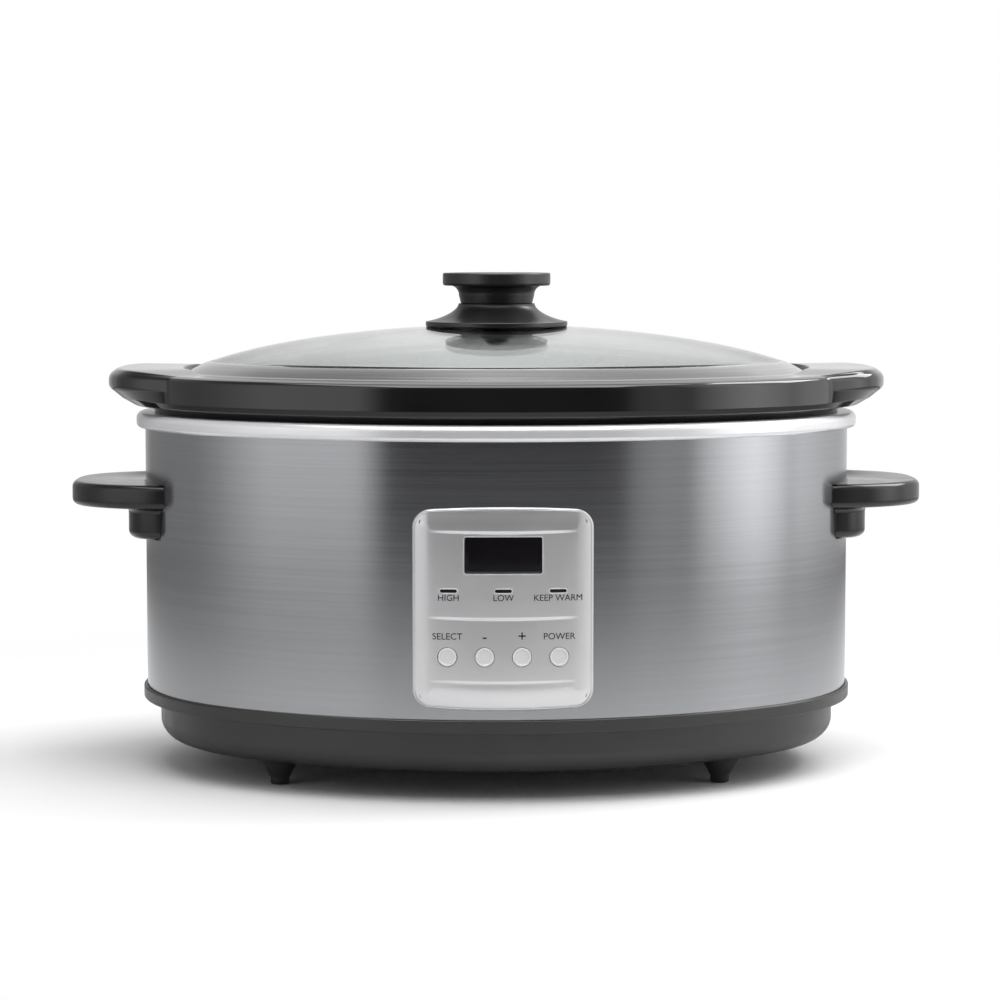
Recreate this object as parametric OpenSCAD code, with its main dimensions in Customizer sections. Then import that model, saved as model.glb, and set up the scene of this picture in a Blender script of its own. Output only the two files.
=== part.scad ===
// Oval slow cooker: heating base, stoneware crock and glass lid.
// Millimetres. The origin is on the floor under the middle, +Z up, the control panel faces -Y.
// Every oval shell is one family: a four-arc oval on a 3-4-5 triangle, set inwards or outwards
// from the steel housing, so that the arcs meet exactly at every offset.

/* [Body plan] */
// Half the length of the steel housing, along X
body_half_length = 178.7; // [148:0.1:215]
// Half the depth of the steel housing, along Y
body_half_depth = 136; // [113:0.1:164]

/* [Heating base] */
// Height of the base shell's underside over the floor
foot_height = 13; // [10:0.5:20]
// Height of the base shell, underside to the top of its lip
base_height = 27.4; // [25:0.1:36]
// Radius of the base shell's rounded bottom edge
bowl_radius = 18; // [14:0.5:21.6]
// Wall of the base shell
base_wall = 2.5; // [2:0.1:4]
// How far the base lip stands out past the housing
lip_out = 1.8; // [1:0.1:4]
// How far the bowl under the lip is set in from the housing
bowl_in = 6.7; // [4:0.1:10]
// Height of the lip's outer band
lip_height = 6.4; // [5:0.1:8]
// Height of steel housing that shows between the lip and the rim ring
housing_height = 131.2; // [108:0.1:160]
// Thickness of the housing and liner sheet
sheet = 1; // [0.6:0.1:1.4]
// Height of the rim ring
ring_height = 7.5; // [6.2:0.1:10]
// How far the rim ring stands out past the housing
ring_out = 4.3; // [4.2:0.1:6]
// Distance from the base shell's underside to the floor of the heating well
well_floor_height = 45; // [42:0.5:56]
// Half the spacing of the feet along X
foot_x = 108; // [90:1:125]
// Half the spacing of the feet along Y
foot_y = 75; // [60:1:90]
// Radius of a rubber foot pad
pad_radius = 4.6; // [3.8:0.1:6]

/* [Crock] */
// Gap between the rim ring and the crock's band
band_gap = 3.4; // [2.5:0.1:6]
// Height of the crock's outer band
band_height = 15.8; // [13:0.1:20]
// How far the crock's band stands out past the housing
band_out = 1.8; // [0.5:0.1:4]
// Stoneware wall at the top
crock_wall = 9.5; // [7.9:0.1:11.4]
// Stoneware floor
crock_floor = 8; // [6.5:0.1:10]
// Gap all round between the crock and the heating well
well_gap = 3; // [2:0.1:5]
// How far the crock's wall leans in from top to bottom
draft = 14; // [8:0.5:18]
// Radius of the rounded inner corner at the crock's floor
crock_corner = 14; // [10:0.5:17]
// How far a crock lug reaches out past the housing
lug_out = 18.3; // [15.2:0.1:24]
// Half the width of a crock lug
lug_half_width = 52; // [43:1:63]

/* [Lid] */
// Distance from the housing line in to the lid's edge
lid_in = 19.7; // [18:0.1:24]
// Height of the lid's steel band
lid_band_height = 8.5; // [8:0.1:10]
// Width of the lid's steel band, from its outer edge in to the glass
lid_band_width = 12.3; // [10:0.1:14]
// Thickness of the glass
glass = 4.5; // [3.7:0.1:5.4]
// Rise of the glass dome over its edge
dome_rise = 18.7; // [15.6:0.1:22.5]
// Radius of the knob's top disc
knob_radius = 27.4; // [22.8:0.1:33]
// Radius of the knob's base flange
knob_base_radius = 36.1; // [33:0.1:43]
// Radius of the knob's neck
neck_radius = 19.2; // [16:0.1:21]

/* [Control panel] */
// Width of the panel
panel_width = 85; // [76:0.5:102]
// Height of the panel
panel_height = 95.8; // [90:0.5:115]
// How far the panel stands out past the housing
panel_out = 3.8; // [3:0.1:4]
// Width of the display window
window_width = 36.6; // [30:0.1:44]
// Height of the display window
window_height = 17.2; // [14.3:0.1:20.6]
// Radius of a push button
button_radius = 4.4; // [3.6:0.1:5.3]
// Distance between neighbouring buttons
button_pitch = 17.5; // [15:0.1:19]
// Travel of a button
button_travel = 0.8; // [0.4:0.1:1]

/* [Side handles] */
// How far a side handle reaches out past the housing
handle_out = 36.9; // [30:0.1:45]
// Thickness of the handle's ledge
ledge_thickness = 12; // [10:0.1:14.4]
// Half the width of the handle's ledge, front to back
ledge_half_width = 58; // [48:0.5:69]
// Height of the handle, top of the ledge to the bottom of its back block
handle_height = 27.5; // [23:0.1:33]

/* [Fits] */
// Gap between pieces that are assembled and don't move
fit = 0.1; // [0.05:0.05:0.2]
// Gap round a piece that moves
running_gap = 0.3; // [0.3:0.05:0.5]
// Bore of the cord gland
gland_bore_radius = 3.7; // [3:0.1:4.4]

/* [Hidden] */
$fn = 96;
// How far a cutter runs past the face that it cuts.
eps = 1;
// Play of a screw in its thread, and the hair's breadth between two faces that touch.
press = 0.02;
seat = 0.01;
small_fn = 32;

// The four-arc oval: end arcs centred on X at 3 units, side arcs centred on Y at 4 units,
// so the line that joins two centres is 5 units long and the arcs meet on it.
unit = (body_half_length - body_half_depth) / 2;
end_centre = 3 * unit;
side_centre = 4 * unit;
end_radius = body_half_length - end_centre;
side_radius = body_half_depth + side_centre;
end_angle = atan2(4, 3);
far = ceil(2 * body_half_length / (3 * unit));

// Heights of the stack, floor to knob.
lip_top = foot_height + base_height;
lip_bottom = lip_top - lip_height;
groove_floor = lip_top - 4.2;
ring_bottom = lip_top + housing_height;
ring_top = ring_bottom + ring_height;
flange_bottom = ring_top - sheet - 0.2;
housing_top = ring_bottom + 3.4;
well_floor = foot_height + well_floor_height;
band_bottom = ring_top + band_gap;
band_top = band_bottom + band_height;
rim_top = band_top + 0.7;
lid_seat = rim_top - 2;
lid_band_top = lid_seat + lid_band_height;
glass_edge_top = lid_band_top - 1.7;
dome_top = glass_edge_top + dome_rise;
crock_bottom = well_floor + well_gap;
crock_inside = crock_bottom + crock_floor;

// Offsets from the housing's outer face, outwards positive.
liner_in = -12;
crock_out = liner_in - well_gap;
crock_in = crock_out - 1 - crock_wall;
glass_in = -lid_in - lid_band_width;
flange_out = -5;
floor_ring = -70;

// Lid dome: one arc along X, swung about an axis along X on the arc's own drop front to back.
function dome_arc(half) = (half * half + dome_rise * dome_rise) / (2 * dome_rise);
dome_long_radius = dome_arc(body_half_length + glass_in);
dome_short_radius = dome_arc(body_half_depth + glass_in);
gasket_thickness = 1;
gasket_radius = 11;
screw_radius = 2.5;
knob_screw_head = 6;
washer_thickness = 1;
knob_base_top = dome_top + gasket_thickness + 9.8;
knob_neck_top = knob_base_top + 5.2;
knob_disc_bottom = knob_neck_top + 3.9;
knob_top = knob_disc_bottom + 6.6;

// Control panel, measured up from the lip.
panel_bottom = lip_top + 4.9;
panel_middle = panel_bottom + panel_height / 2;
panel_corner = 8.2;
panel_arch = 1.6;
button_z = panel_bottom + 25.5;
slot_z = panel_bottom + 56.6;
window_z = panel_bottom + 73.3;
slot_pitch = 25.7;
slot_size = [8, 1.6];
cutout_half = panel_width / 2 - 8;
cutout_bottom = panel_bottom + 11;
cutout_top = panel_bottom + panel_height - 11;
panel_screw_x = panel_width / 2 - 4.2;
panel_screw_radius = 1.2;
board_thickness = 1.6;
board_front = -(body_half_depth - 11);
board_half = cutout_half - 1.5;
post_x = board_half - 4;
post_z = [cutout_bottom + 4, cutout_top - 4];
post_radius = 3;
switch_height = 3.5;
switch_size = 6;
small_head = 2.4;
plunger_radius = 1.6;
plunger_out = button_travel + 0.4;
button_xs = [-1.5 * button_pitch, -0.5 * button_pitch, 0.5 * button_pitch, 1.5 * button_pitch];
button_flange = 1.1;
button_proud = 0.3;

// Side handles.
handle_top = ring_bottom - 27.1;
handle_bottom = handle_top - handle_height;
handle_reach = body_half_length + handle_out;
back_block_reach = body_half_length + 6.9;
back_block_half = ledge_half_width - 7;
handle_screw_y = 34;
handle_screw_z = handle_bottom + 8.5;
handle_screw_radius = 2;
lug_top = rim_top + 2.4;
lug_reach = body_half_length + lug_out;
lug_lid_gap = 2;

// Inner parts.
gland_z = lip_top + 17;
gland_flange = 9;
gland_thread = 6.5;
gland_length = 12;
tie_radius = 3;
board_screw_radius = 1.5;
sensor_y = 48;
power_board_z = foot_height + base_wall + 7;
power_board_size = [96, 62];
power_board_at = [0, -52];
power_board_screws_at = [[-42, -76], [42, -76], [-42, -28], [42, -28]];
heater_bottom = well_floor + 18;
heater_top = heater_bottom + 42;
board_parts_z = power_board_z + board_thickness;

function arc(x, z, r, from, to, steps = 6) =
    [for (i = [0 : steps]) let (a = from + (to - from) * i / steps) [x + r * cos(a), z + r * sin(a)]];
// Y of the front wall's surface, set out by t, at a distance x from the middle.
function front_y(t, x) = side_centre - sqrt(pow(side_radius + t, 2) - x * x);
// X of the end wall's surface, set out by t, at a distance y from the middle.
function end_x(t, y) = end_centre + sqrt(pow(end_radius + t, 2) - y * y);
// A rounded box outline in plan, from the superellipse |x/a|^n + |y/b|^n = 1.
function squircle(a, b, n, steps = 64) =
    [for (i = [0 : steps - 1]) let (w = 360 * i / steps)
        [a * sign(cos(w)) * pow(abs(cos(w)), 2 / n), b * sign(sin(w)) * pow(abs(sin(w)), 2 / n)]];
function oval_point(t, w) =
    abs(w) <= end_angle ? [end_centre + (end_radius + t) * cos(w), (end_radius + t) * sin(w)]
                        : [(side_radius + t) * cos(w), (side_radius + t) * sin(w) - side_centre];
function quarter(t, steps) = [for (i = [0 : steps]) oval_point(t, 90 * i / steps)];

// Carries a profile round the oval. The profile's x is its offset from the housing's outer face.
// Each arc is a full turn of the profile, cut to the wedge between the lines that join the centres.
module sweep() {
    corner = [3 * far * unit, 4 * (far - 1) * unit];
    for (side = [-1, 1]) {
        intersection() {
            translate([side * end_centre, 0, 0]) rotate_extrude() translate([end_radius, 0]) children();
            wedge([[side * end_centre, 0], [side * corner[0], -corner[1]],
                [side * corner[0], corner[1]]]);
        }
        intersection() {
            translate([0, -side * side_centre, 0]) rotate_extrude($fn = 192)
                translate([side_radius, 0]) children();
            wedge([[0, -side * side_centre], [corner[0], side * corner[1]],
                [-corner[0], side * corner[1]]]);
        }
    }
}

module wedge(outline) {
    linear_extrude(2 * rim_top) polygon(outline);
}

// The oval as a flat outline, set out by t: two end circles, and the overlap of the side circles between.
module oval(t) {
    join_x = end_centre + (end_radius + t) * cos(end_angle);
    intersection() {
        translate([0, side_centre]) circle(r = side_radius + t, $fn = 192);
        translate([0, -side_centre]) circle(r = side_radius + t, $fn = 192);
        square([2 * join_x, 4 * body_half_depth], center = true);
    }
    for (x = [-end_centre, end_centre]) translate([x, 0]) circle(r = end_radius + t);
}

// Fills the middle of a swept floor with a flat plate.
module middle_plate(z, height) {
    q = quarter(floor_ring + 20, 12);
    n = len(q);
    translate([0, 0, z]) linear_extrude(height)
        polygon([
            for (p = q) p,
            for (i = [n - 2 : -1 : 0]) [-q[i][0], q[i][1]],
            for (i = [1 : n - 1]) [-q[i][0], -q[i][1]],
            for (i = [n - 2 : -1 : 1]) [q[i][0], -q[i][1]]
        ]);
}

module each_foot() {
    for (x = [-foot_x, foot_x], y = [-foot_y, foot_y]) translate([x, y, 0]) children();
}

module along_y(at) {
    translate(at) rotate([-90, 0, 0]) children();
}

module round_bar(from, to, r) {
    d = to - from;
    translate(from) rotate([0, acos(d[2] / norm(d)), atan2(d[1], d[0])])
        cylinder(r = r, h = norm(d), $fn = 8);
}

// A wire with round elbows through a list of points.
module wire(points, r) {
    for (i = [0 : len(points) - 2]) round_bar(points[i], points[i + 1], r);
    for (i = [1 : len(points) - 2]) translate(points[i]) sphere(r = 1.1 * r, $fn = 8);
}

// ---- heating base ----

module housing() color("dimgray") difference() {
    sweep() translate([-sheet, groove_floor]) square([sheet, housing_top - groove_floor]);
    translate([-cutout_half, -body_half_depth - eps, cutout_bottom])
        cube([2 * cutout_half, 20, cutout_top - cutout_bottom]);
    panel_screw_places() cylinder(r = panel_screw_radius + fit, h = 30, center = true, $fn = small_fn);
    for (side = [-1, 1]) handle_screw_places(side)
        cylinder(r = handle_screw_radius + fit, h = 40, $fn = small_fn);
    along_y([0, body_half_depth - 15, gland_z]) cylinder(r = gland_thread + fit, h = 30);
}

module rim_ring() color("silver") difference() {
    sweep() polygon([
        [liner_in + sheet + 0.5, flange_bottom], [flange_out + fit, flange_bottom],
        [flange_out + fit, ring_top], each arc(ring_out - 3, ring_top - 3, 3, 90, 0),
        each arc(ring_out - 2, ring_bottom + 2, 2, 0, -90, 4), [-3, ring_bottom],
        [-3, ring_bottom + 1], [liner_in + sheet + 0.5, ring_top - 2.6]
    ]);
    sweep() translate([-sheet - fit, ring_bottom - eps])
        square([sheet + 2 * fit, housing_top - ring_bottom + eps]);
}

module inner_liner() color("lightgray") difference() {
    union() {
        sweep() polygon([
            [flange_out, ring_top], [liner_in, ring_top],
            each arc(liner_in - draft - 12, well_floor + 12, 12, 0, -90), [floor_ring, well_floor],
            [floor_ring, well_floor - sheet],
            each arc(liner_in - draft - 12, well_floor + 12, 12 + sheet, -90, 0),
            [liner_in + sheet, flange_bottom], [flange_out, flange_bottom]
        ]);
        middle_plate(well_floor - sheet, sheet);
    }
    translate([0, 0, well_floor - 5]) cylinder(r = tie_radius + fit, h = 10);
}

function liner_face(z) = liner_in + sheet - draft * (flange_bottom - z) / (ring_top - well_floor - 13.2);

module heater_band() color("tan") difference() {
    sweep() polygon([
        [liner_face(heater_bottom) + 0.3, heater_bottom],
        [liner_face(heater_bottom) + 3.3, heater_bottom],
        [liner_face(heater_top) + 3.3, heater_top], [liner_face(heater_top) + 0.3, heater_top]
    ]);
    translate([-4, body_half_depth - 60, heater_bottom - eps])
        cube([8, 60, heater_top - heater_bottom + 2 * eps]);
}

module base_shell() color("dimgray") difference() {
    union() {
        sweep() polygon([
            [fit, lip_top], each arc(lip_out - 0.5, lip_top - 0.5, 0.5, 90, 0, 2),
            each arc(lip_out - 0.5, lip_bottom + 0.5, 0.5, 0, -90, 2), [-bowl_in, lip_bottom - 0.6],
            each arc(-bowl_in - bowl_radius, foot_height + bowl_radius, bowl_radius, 0, -90),
            [floor_ring, foot_height], [floor_ring, foot_height + base_wall],
            each arc(-bowl_in - bowl_radius, foot_height + bowl_radius, bowl_radius - base_wall, -90, 0),
            [-bowl_in - base_wall, groove_floor], [-sheet - 3, groove_floor + 0.2],
            [-sheet - 3, lip_top + 5],
            [-sheet - fit, lip_top + 5], [-sheet - fit, groove_floor], [fit, groove_floor]
        ]);
        middle_plate(foot_height, base_wall);
        each_foot() translate([0, 0, 4]) cylinder(r1 = pad_radius + 0.8, r2 = pad_radius + 8.2, h = 13);
        translate([0, 0, foot_height]) cylinder(r = 14, h = base_wall + 3);
        for (p = power_board_screws_at)
            translate([p[0], p[1], foot_height]) cylinder(r = 4, h = power_board_z - foot_height);
    }
    each_foot() translate([0, 0, 4 - eps]) cylinder(r = 2.5 + fit, h = 5 + eps);
    cylinder(r = tie_radius + fit, h = 60);
    translate([0, 0, foot_height - eps]) cylinder(r = 8, h = 3 + eps);
    for (p = power_board_screws_at)
        translate([p[0], p[1], foot_height + base_wall])
            cylinder(r = board_screw_radius + fit, h = 20, $fn = small_fn);
}

module foot_pads() color("black") each_foot() {
    cylinder(r = pad_radius, h = 4);
    cylinder(r = 2.5, h = 8.5);
}

module tie_stud() color("gray") union() {
    translate([0, 0, foot_height - 2]) cylinder(r = tie_radius, h = well_floor - foot_height + 2);
    translate([0, 0, well_floor - sheet - 3]) cylinder(r = 9, h = 3 - seat);
}

module tie_nut() color("silver") difference() {
    translate([0, 0, foot_height - 1.6]) cylinder(r = 5.8, h = 4.5, $fn = 6);
    cylinder(r = tie_radius + press, h = 60);
}

module cord_gland() color("black") difference() {
    union() {
        along_y([0, body_half_depth + 0.05, gland_z]) cylinder(r = gland_flange, h = 3);
        along_y([0, body_half_depth + 3 - gland_length, gland_z])
            cylinder(r = gland_thread, h = gland_length);
    }
    along_y([0, body_half_depth - 30, gland_z]) cylinder(r = gland_bore_radius, h = 60);
}

module gland_nut() color("black") difference() {
    along_y([0, body_half_depth - sheet - 4.1, gland_z]) cylinder(r = gland_flange + 1, h = 3.5, $fn = 6);
    along_y([0, body_half_depth - 30, gland_z]) cylinder(r = gland_thread + press, h = 60);
}

// ---- side handles ----

module handle_screw_places(side) {
    for (y = [-handle_screw_y, handle_screw_y])
        translate([side * (end_x(-sheet, y) - 6), y, handle_screw_z])
            rotate([0, side * 90, 0]) children();
}

module side_handle(side) {
    start = end_centre + 50;
    difference() {
        union() {
            translate([side * start, 0, handle_top - ledge_thickness]) linear_extrude(ledge_thickness)
                polygon(squircle(handle_reach - start, ledge_half_width, 5));
            translate([side > 0 ? start : -back_block_reach, -back_block_half, handle_bottom])
                cube([back_block_reach - start, 2 * back_block_half, handle_height]);
        }
        translate([side * end_centre, 0, handle_bottom - eps])
            cylinder(r = end_radius + fit, h = handle_height + 2 * eps, $fn = 192);
        translate([side > 0 ? -eps : -end_centre + eps - 60, -80, handle_bottom - eps])
            cube([end_centre + 60, 160, handle_height + 2 * eps]);
        handle_screw_places(side) cylinder(r = handle_screw_radius + press, h = 16, $fn = small_fn);
    }
}

module side_handle_left() color("black") side_handle(-1);
module side_handle_right() color("black") side_handle(1);

module handle_screws() color("silver") for (side = [-1, 1]) handle_screw_places(side) {
    cylinder(r = handle_screw_radius, h = 15, $fn = small_fn);
    cylinder(r = 4, h = 2.6, $fn = small_fn);
}

// ---- control panel ----

// Rounded rectangle with its top and bottom edges arched outwards.
function panel_points(inset) = let (
    w = panel_width / 2 - inset, h = panel_height / 2 - inset - panel_arch, r = panel_corner - inset,
    q = [each arc(w - r, h - r, r, 0, 90), for (x = [0.75, 0.5, 0.25, 0]) [x * (w - r), h]],
    n = len(q)
) [for (i = [0 : 4 * n - 1]) let (
    k = floor(i / n), j = k % 2 == 0 ? i % n : n - 1 - i % n, p = q[j],
    z = p[1] + panel_arch * (1 - pow(p[0] / w, 2)) * p[1] / h
) [(k == 0 || k == 3 ? 1 : -1) * p[0], panel_middle + (k < 2 ? 1 : -1) * z]];

module panel_screw_places() {
    for (x = [-panel_screw_x, panel_screw_x], z = [panel_bottom + 7, panel_bottom + panel_height - 7])
        along_y([x, front_y(0, x), z]) children();
}

module front_cylinder(t) {
    translate([0, side_centre, panel_bottom - 10])
        cylinder(r = side_radius + t, h = panel_height + 20, $fn = 288);
}

module panel_block(inset) {
    rotate([90, 0, 0]) linear_extrude(body_half_depth + 20) polygon(panel_points(inset));
}

module panel_bezel() color("silver") difference() {
    union() {
        difference() {
            intersection() {
                panel_block(0);
                front_cylinder(panel_out);
            }
            front_cylinder(fit);
        }
        for (x = [-post_x, post_x], z = post_z)
            along_y([x, front_y(1.5, x), z])
                cylinder(r = post_radius, h = board_front - fit - front_y(1.5, x));
    }
    translate([-window_width / 2, -body_half_depth - 20, window_z - window_height / 2])
        cube([window_width, 40, window_height]);
    for (i = [-1, 0, 1]) translate([i * slot_pitch, -body_half_depth, slot_z])
        cube([slot_size[0], 30, slot_size[1]], center = true);
    for (x = button_xs) along_y([x, -body_half_depth - 20, button_z])
        cylinder(r = button_radius + running_gap, h = 40);
    for (x = [-post_x, post_x], z = post_z)
        along_y([x, board_front - 5, z]) cylinder(r = panel_screw_radius, h = 10, $fn = small_fn);
    panel_screw_places() translate([0, 0, -2.4])
        cylinder(r = panel_screw_radius + press, h = 10, $fn = small_fn);
}

module panel_screws() color("silver") panel_screw_places() {
    translate([0, 0, -2.2]) cylinder(r = panel_screw_radius, h = 2.2 + sheet + 1, $fn = small_fn);
    translate([0, 0, sheet + 0.6]) cylinder(r = small_head, h = 1.6, $fn = small_fn);
}

module display_window() color("black") intersection() {
    translate([-window_width / 2 + fit, -body_half_depth - 20, window_z - window_height / 2 + fit])
        cube([window_width - 2 * fit, 40, window_height - 2 * fit]);
    difference() {
        front_cylinder(panel_out - 0.8);
        front_cylinder(panel_out - 2.6);
    }
}

module display_module() color("dimgray") translate([0, board_front, window_z]) {
    translate([-window_width / 2 + 1.5, -7.6, -window_height / 2 + 1])
        cube([window_width - 3, 7.6, window_height - 2]);
}

module indicator_lenses() color("white") for (i = [-1, 0, 1]) {
    x = i * slot_pitch;
    y = front_y(fit, abs(x) + slot_size[0] / 2);
    translate([x - slot_size[0] / 2 + fit, front_y(panel_out - 0.3, abs(x)),
        slot_z - slot_size[1] / 2 + fit])
        cube([slot_size[0] - 2 * fit, y + 2.5 - front_y(panel_out - 0.3, abs(x)),
            slot_size[1] - 2 * fit]);
    translate([x - slot_size[0] / 2 - 1, y + 0.3, slot_z - slot_size[1] / 2 - 1])
        cube([slot_size[0] + 2, 2.2, slot_size[1] + 2]);
}

module indicator_leds() color("white") for (i = [-1, 0, 1])
    translate([i * slot_pitch, board_front, slot_z]) {
    translate([-1.6, -1.6, -1.4]) cube([3.2, 1.6, 2.8]);
    along_y([0, -2.4, 0]) cylinder(r = 1.2, h = 1, $fn = small_fn);
}

module control_board() color("darkgreen") difference() {
    translate([-board_half, board_front, cutout_bottom + 1])
        cube([2 * board_half, board_thickness, cutout_top - cutout_bottom - 2]);
    for (x = [-post_x, post_x], z = post_z)
        along_y([x, board_front - eps, z]) cylinder(r = panel_screw_radius + fit, h = 5, $fn = small_fn);
}

module control_board_screws() color("silver") for (x = [-post_x, post_x], z = post_z)
    along_y([x, board_front - 4, z]) {
        cylinder(r = panel_screw_radius - press, h = 5.7, $fn = small_fn);
        translate([0, 0, 4 + board_thickness + seat]) cylinder(r = small_head, h = 1.5, $fn = small_fn);
    }

module tactile_switches() color("dimgray") for (x = button_xs) difference() {
    translate([x - switch_size / 2, board_front - switch_height, button_z - switch_size / 2])
        cube([switch_size, switch_height, switch_size]);
    along_y([x, board_front - switch_height - eps, button_z])
        cylinder(r = plunger_radius + running_gap, h = switch_height - 0.4 + eps, $fn = 48);
}

// Push button number i, its cap through the panel, its flange behind it and its stem on the switch.
module button(i) {
    x = button_xs[i];
    face = front_y(panel_out, abs(x)) - button_proud;
    flange = front_y(fit, abs(x) + button_radius + button_flange) + 0.15;
    along_y([x, face, button_z]) cylinder(r = button_radius, h = flange - face + 0.5);
    along_y([x, flange, button_z]) cylinder(r = button_radius + button_flange, h = 1.2);
    along_y([x, flange, button_z])
        cylinder(r = 2.2, h = board_front - switch_height - plunger_out - flange, $fn = 48);
}

module plunger(i) {
    along_y([button_xs[i], board_front - switch_height - plunger_out, button_z])
        cylinder(r = plunger_radius, h = plunger_out + 1.2, $fn = 48);
}

module select_button() color("silver") button(0);
module minus_button() color("silver") button(1);
module plus_button() color("silver") button(2);
module power_button() color("silver") button(3);
module select_plunger() color("black") plunger(0);
module minus_plunger() color("black") plunger(1);
module plus_plunger() color("black") plunger(2);
module power_plunger() color("black") plunger(3);

// ---- inside the base ----

module power_board() color("darkgreen") difference() {
    translate([power_board_at[0] - power_board_size[0] / 2, power_board_at[1] - power_board_size[1] / 2,
        power_board_z])
        cube([power_board_size[0], power_board_size[1], board_thickness]);
    for (p = power_board_screws_at)
        translate([p[0], p[1], power_board_z - eps])
            cylinder(r = board_screw_radius + fit, h = 5, $fn = small_fn);
}

module power_board_screws() color("silver") for (p = power_board_screws_at) translate([p[0], p[1], 0]) {
    translate([0, 0, power_board_z - 5])
        cylinder(r = board_screw_radius, h = 5 + board_thickness + 0.5, $fn = small_fn);
    translate([0, 0, board_parts_z + seat]) cylinder(r = 2.8, h = 2, $fn = small_fn);
}

// A part that stands on the power board, placed from the board's middle.
module on_board(x, y) {
    translate([power_board_at[0] + x, power_board_at[1] + y, board_parts_z + seat]) children();
}

module relay() color("royalblue") on_board(-24, 12) translate([-9.5, -7.7, 0]) cube([19, 15.4, 15.5]);

module transformer() color("goldenrod") on_board(0, -10) {
    translate([-14, -11, 2]) cube([28, 22, 14]);
    translate([-9, -14, 0]) cube([18, 28, 18]);
}

module filter_capacitor() color("navy") on_board(20, 12) cylinder(r = 5, h = 14);

module terminal_block() color("forestgreen") on_board(-34, -10) difference() {
    translate([-5, -11, 0]) cube([10, 22, 13]);
    for (y = [-7, 0, 7]) translate([0, y, 5]) cylinder(r = 1.8, h = 10, $fn = small_fn);
}

module temperature_sensor() color("silver") translate([0, sensor_y, 0]) {
    translate([0, 0, well_floor - sheet - 5.05]) cylinder(r = 6, h = 5);
    translate([0, 0, well_floor - sheet - 10]) cylinder(r = 3, h = 6);
}

module sensor_clip() color("gray") translate([0, sensor_y, 0]) difference() {
    union() {
        translate([-6.5, -5, well_floor - sheet - 6.2]) cube([13, 10, 1]);
        for (side = [-1, 1]) translate([side * 7 - 0.5, -5, well_floor - sheet - 6.2])
            cube([1, 10, 6.15]);
        for (side = [-1, 1]) translate([side * 11 - 4.5, -5, well_floor - sheet - 1.05]) cube([9, 10, 1]);
    }
    translate([0, 0, well_floor - sheet - 20]) cylinder(r = 3 + fit, h = 18);
}

fuse_x = end_x(liner_face(heater_bottom - 8), 0);
module thermal_fuse() color("silver") translate([fuse_x + 3.2, 0, heater_bottom - 7]) rotate([90, 0, 0])
    cylinder(r = 2, h = 12, center = true);

module fuse_clip() color("gray") translate([fuse_x + 3.2, 0, heater_bottom - 7]) difference() {
    rotate([90, 0, 0]) cylinder(r = 2.9, h = 6, center = true);
    rotate([90, 0, 0]) cylinder(r = 2 + fit, h = 8, center = true);
}

heater_tail_y = body_half_depth + liner_face(heater_bottom) + 5;
terminal_x = power_board_at[0] - 34;
module heater_leads() color("white") for (i = [0, 1])
    wire([
        [(i == 0 ? -8 : 8), heater_tail_y + 1.3, heater_bottom + 10],
        [(i == 0 ? -8 : 8), heater_tail_y + 1.3, well_floor - 10],
        [-90 + 8 * i, 60, well_floor - 16],
        [-90 + 8 * i, power_board_at[1] - 3 - 7 * i, board_parts_z + 20 - i * 2],
        [terminal_x, power_board_at[1] - 3 - 7 * i, board_parts_z + 20 - i * 2],
        [terminal_x, power_board_at[1] - 3 - 7 * i, board_parts_z + 6]
    ], 1.1);

module ribbon_cable() color("lightgray") translate([-10, 0, 0]) {
    translate([0, board_front + board_thickness + 0.1, board_parts_z + 8])
        cube([20, 0.8, cutout_bottom - board_parts_z]);
    translate([0, board_front + board_thickness + 0.1, board_parts_z + 7.2])
        cube([20, power_board_at[1] - power_board_size[1] / 2 + 4.8 - board_front - board_thickness - 0.1,
            0.8]);
    translate([0, power_board_at[1] - power_board_size[1] / 2 + 4, board_parts_z + 0.05])
        cube([20, 0.8, 8]);
}

// ---- crock ----

module crock() color([0.07, 0.07, 0.07]) union() {
    sweep() polygon([
        [floor_ring, crock_inside],
        each arc(crock_in - draft - crock_corner + 2, crock_inside + crock_corner, crock_corner, -90, 0),
        [crock_in, lid_seat], [-lid_in + 0.5, lid_seat], [-lid_in + 0.5, rim_top - 0.6],
        [-lid_in + 1.1, rim_top],
        [band_out - 4, rim_top], each arc(band_out - 2, band_top - 1.4, 2, 70, 0, 4),
        each arc(band_out - 1, band_bottom + 1, 1, 0, -90, 3), [-3.6, band_bottom],
        [flange_out, ring_top], [crock_out, ring_top],
        each arc(crock_out - draft - 12, crock_bottom + 12, 12, 0, -90), [floor_ring, crock_bottom]
    ]);
    middle_plate(crock_bottom, crock_floor);
    for (side = [0, 1]) mirror([side, 0, 0]) crock_lug();
}

// A lug at the end of the rim: flat on top, its underside sloping up to the tip.
module crock_lug() {
    root = body_half_length - lid_in + 6;
    middle = root - 20;
    intersection() {
        difference() {
            translate([middle, 0, band_bottom]) linear_extrude(lug_top - band_bottom)
                polygon(squircle(lug_reach - middle, lug_half_width, 3.4));
            translate([end_centre, 0, band_bottom - eps])
                cylinder(r = end_radius - lid_in + lug_lid_gap, h = lug_top - band_bottom + 2 * eps,
                    $fn = 192);
        }
        translate([0, lug_half_width + eps, 0]) rotate([90, 0, 0])
            linear_extrude(2 * lug_half_width + 2) polygon([
            [root - 60, band_bottom], [lug_reach - 14, band_bottom], [lug_reach, band_bottom + 9.5],
            [lug_reach, lug_top - 1.5], [lug_reach - 1.5, lug_top], [root - 60, lug_top]
        ]);
    }
}

// ---- lid ----

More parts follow.
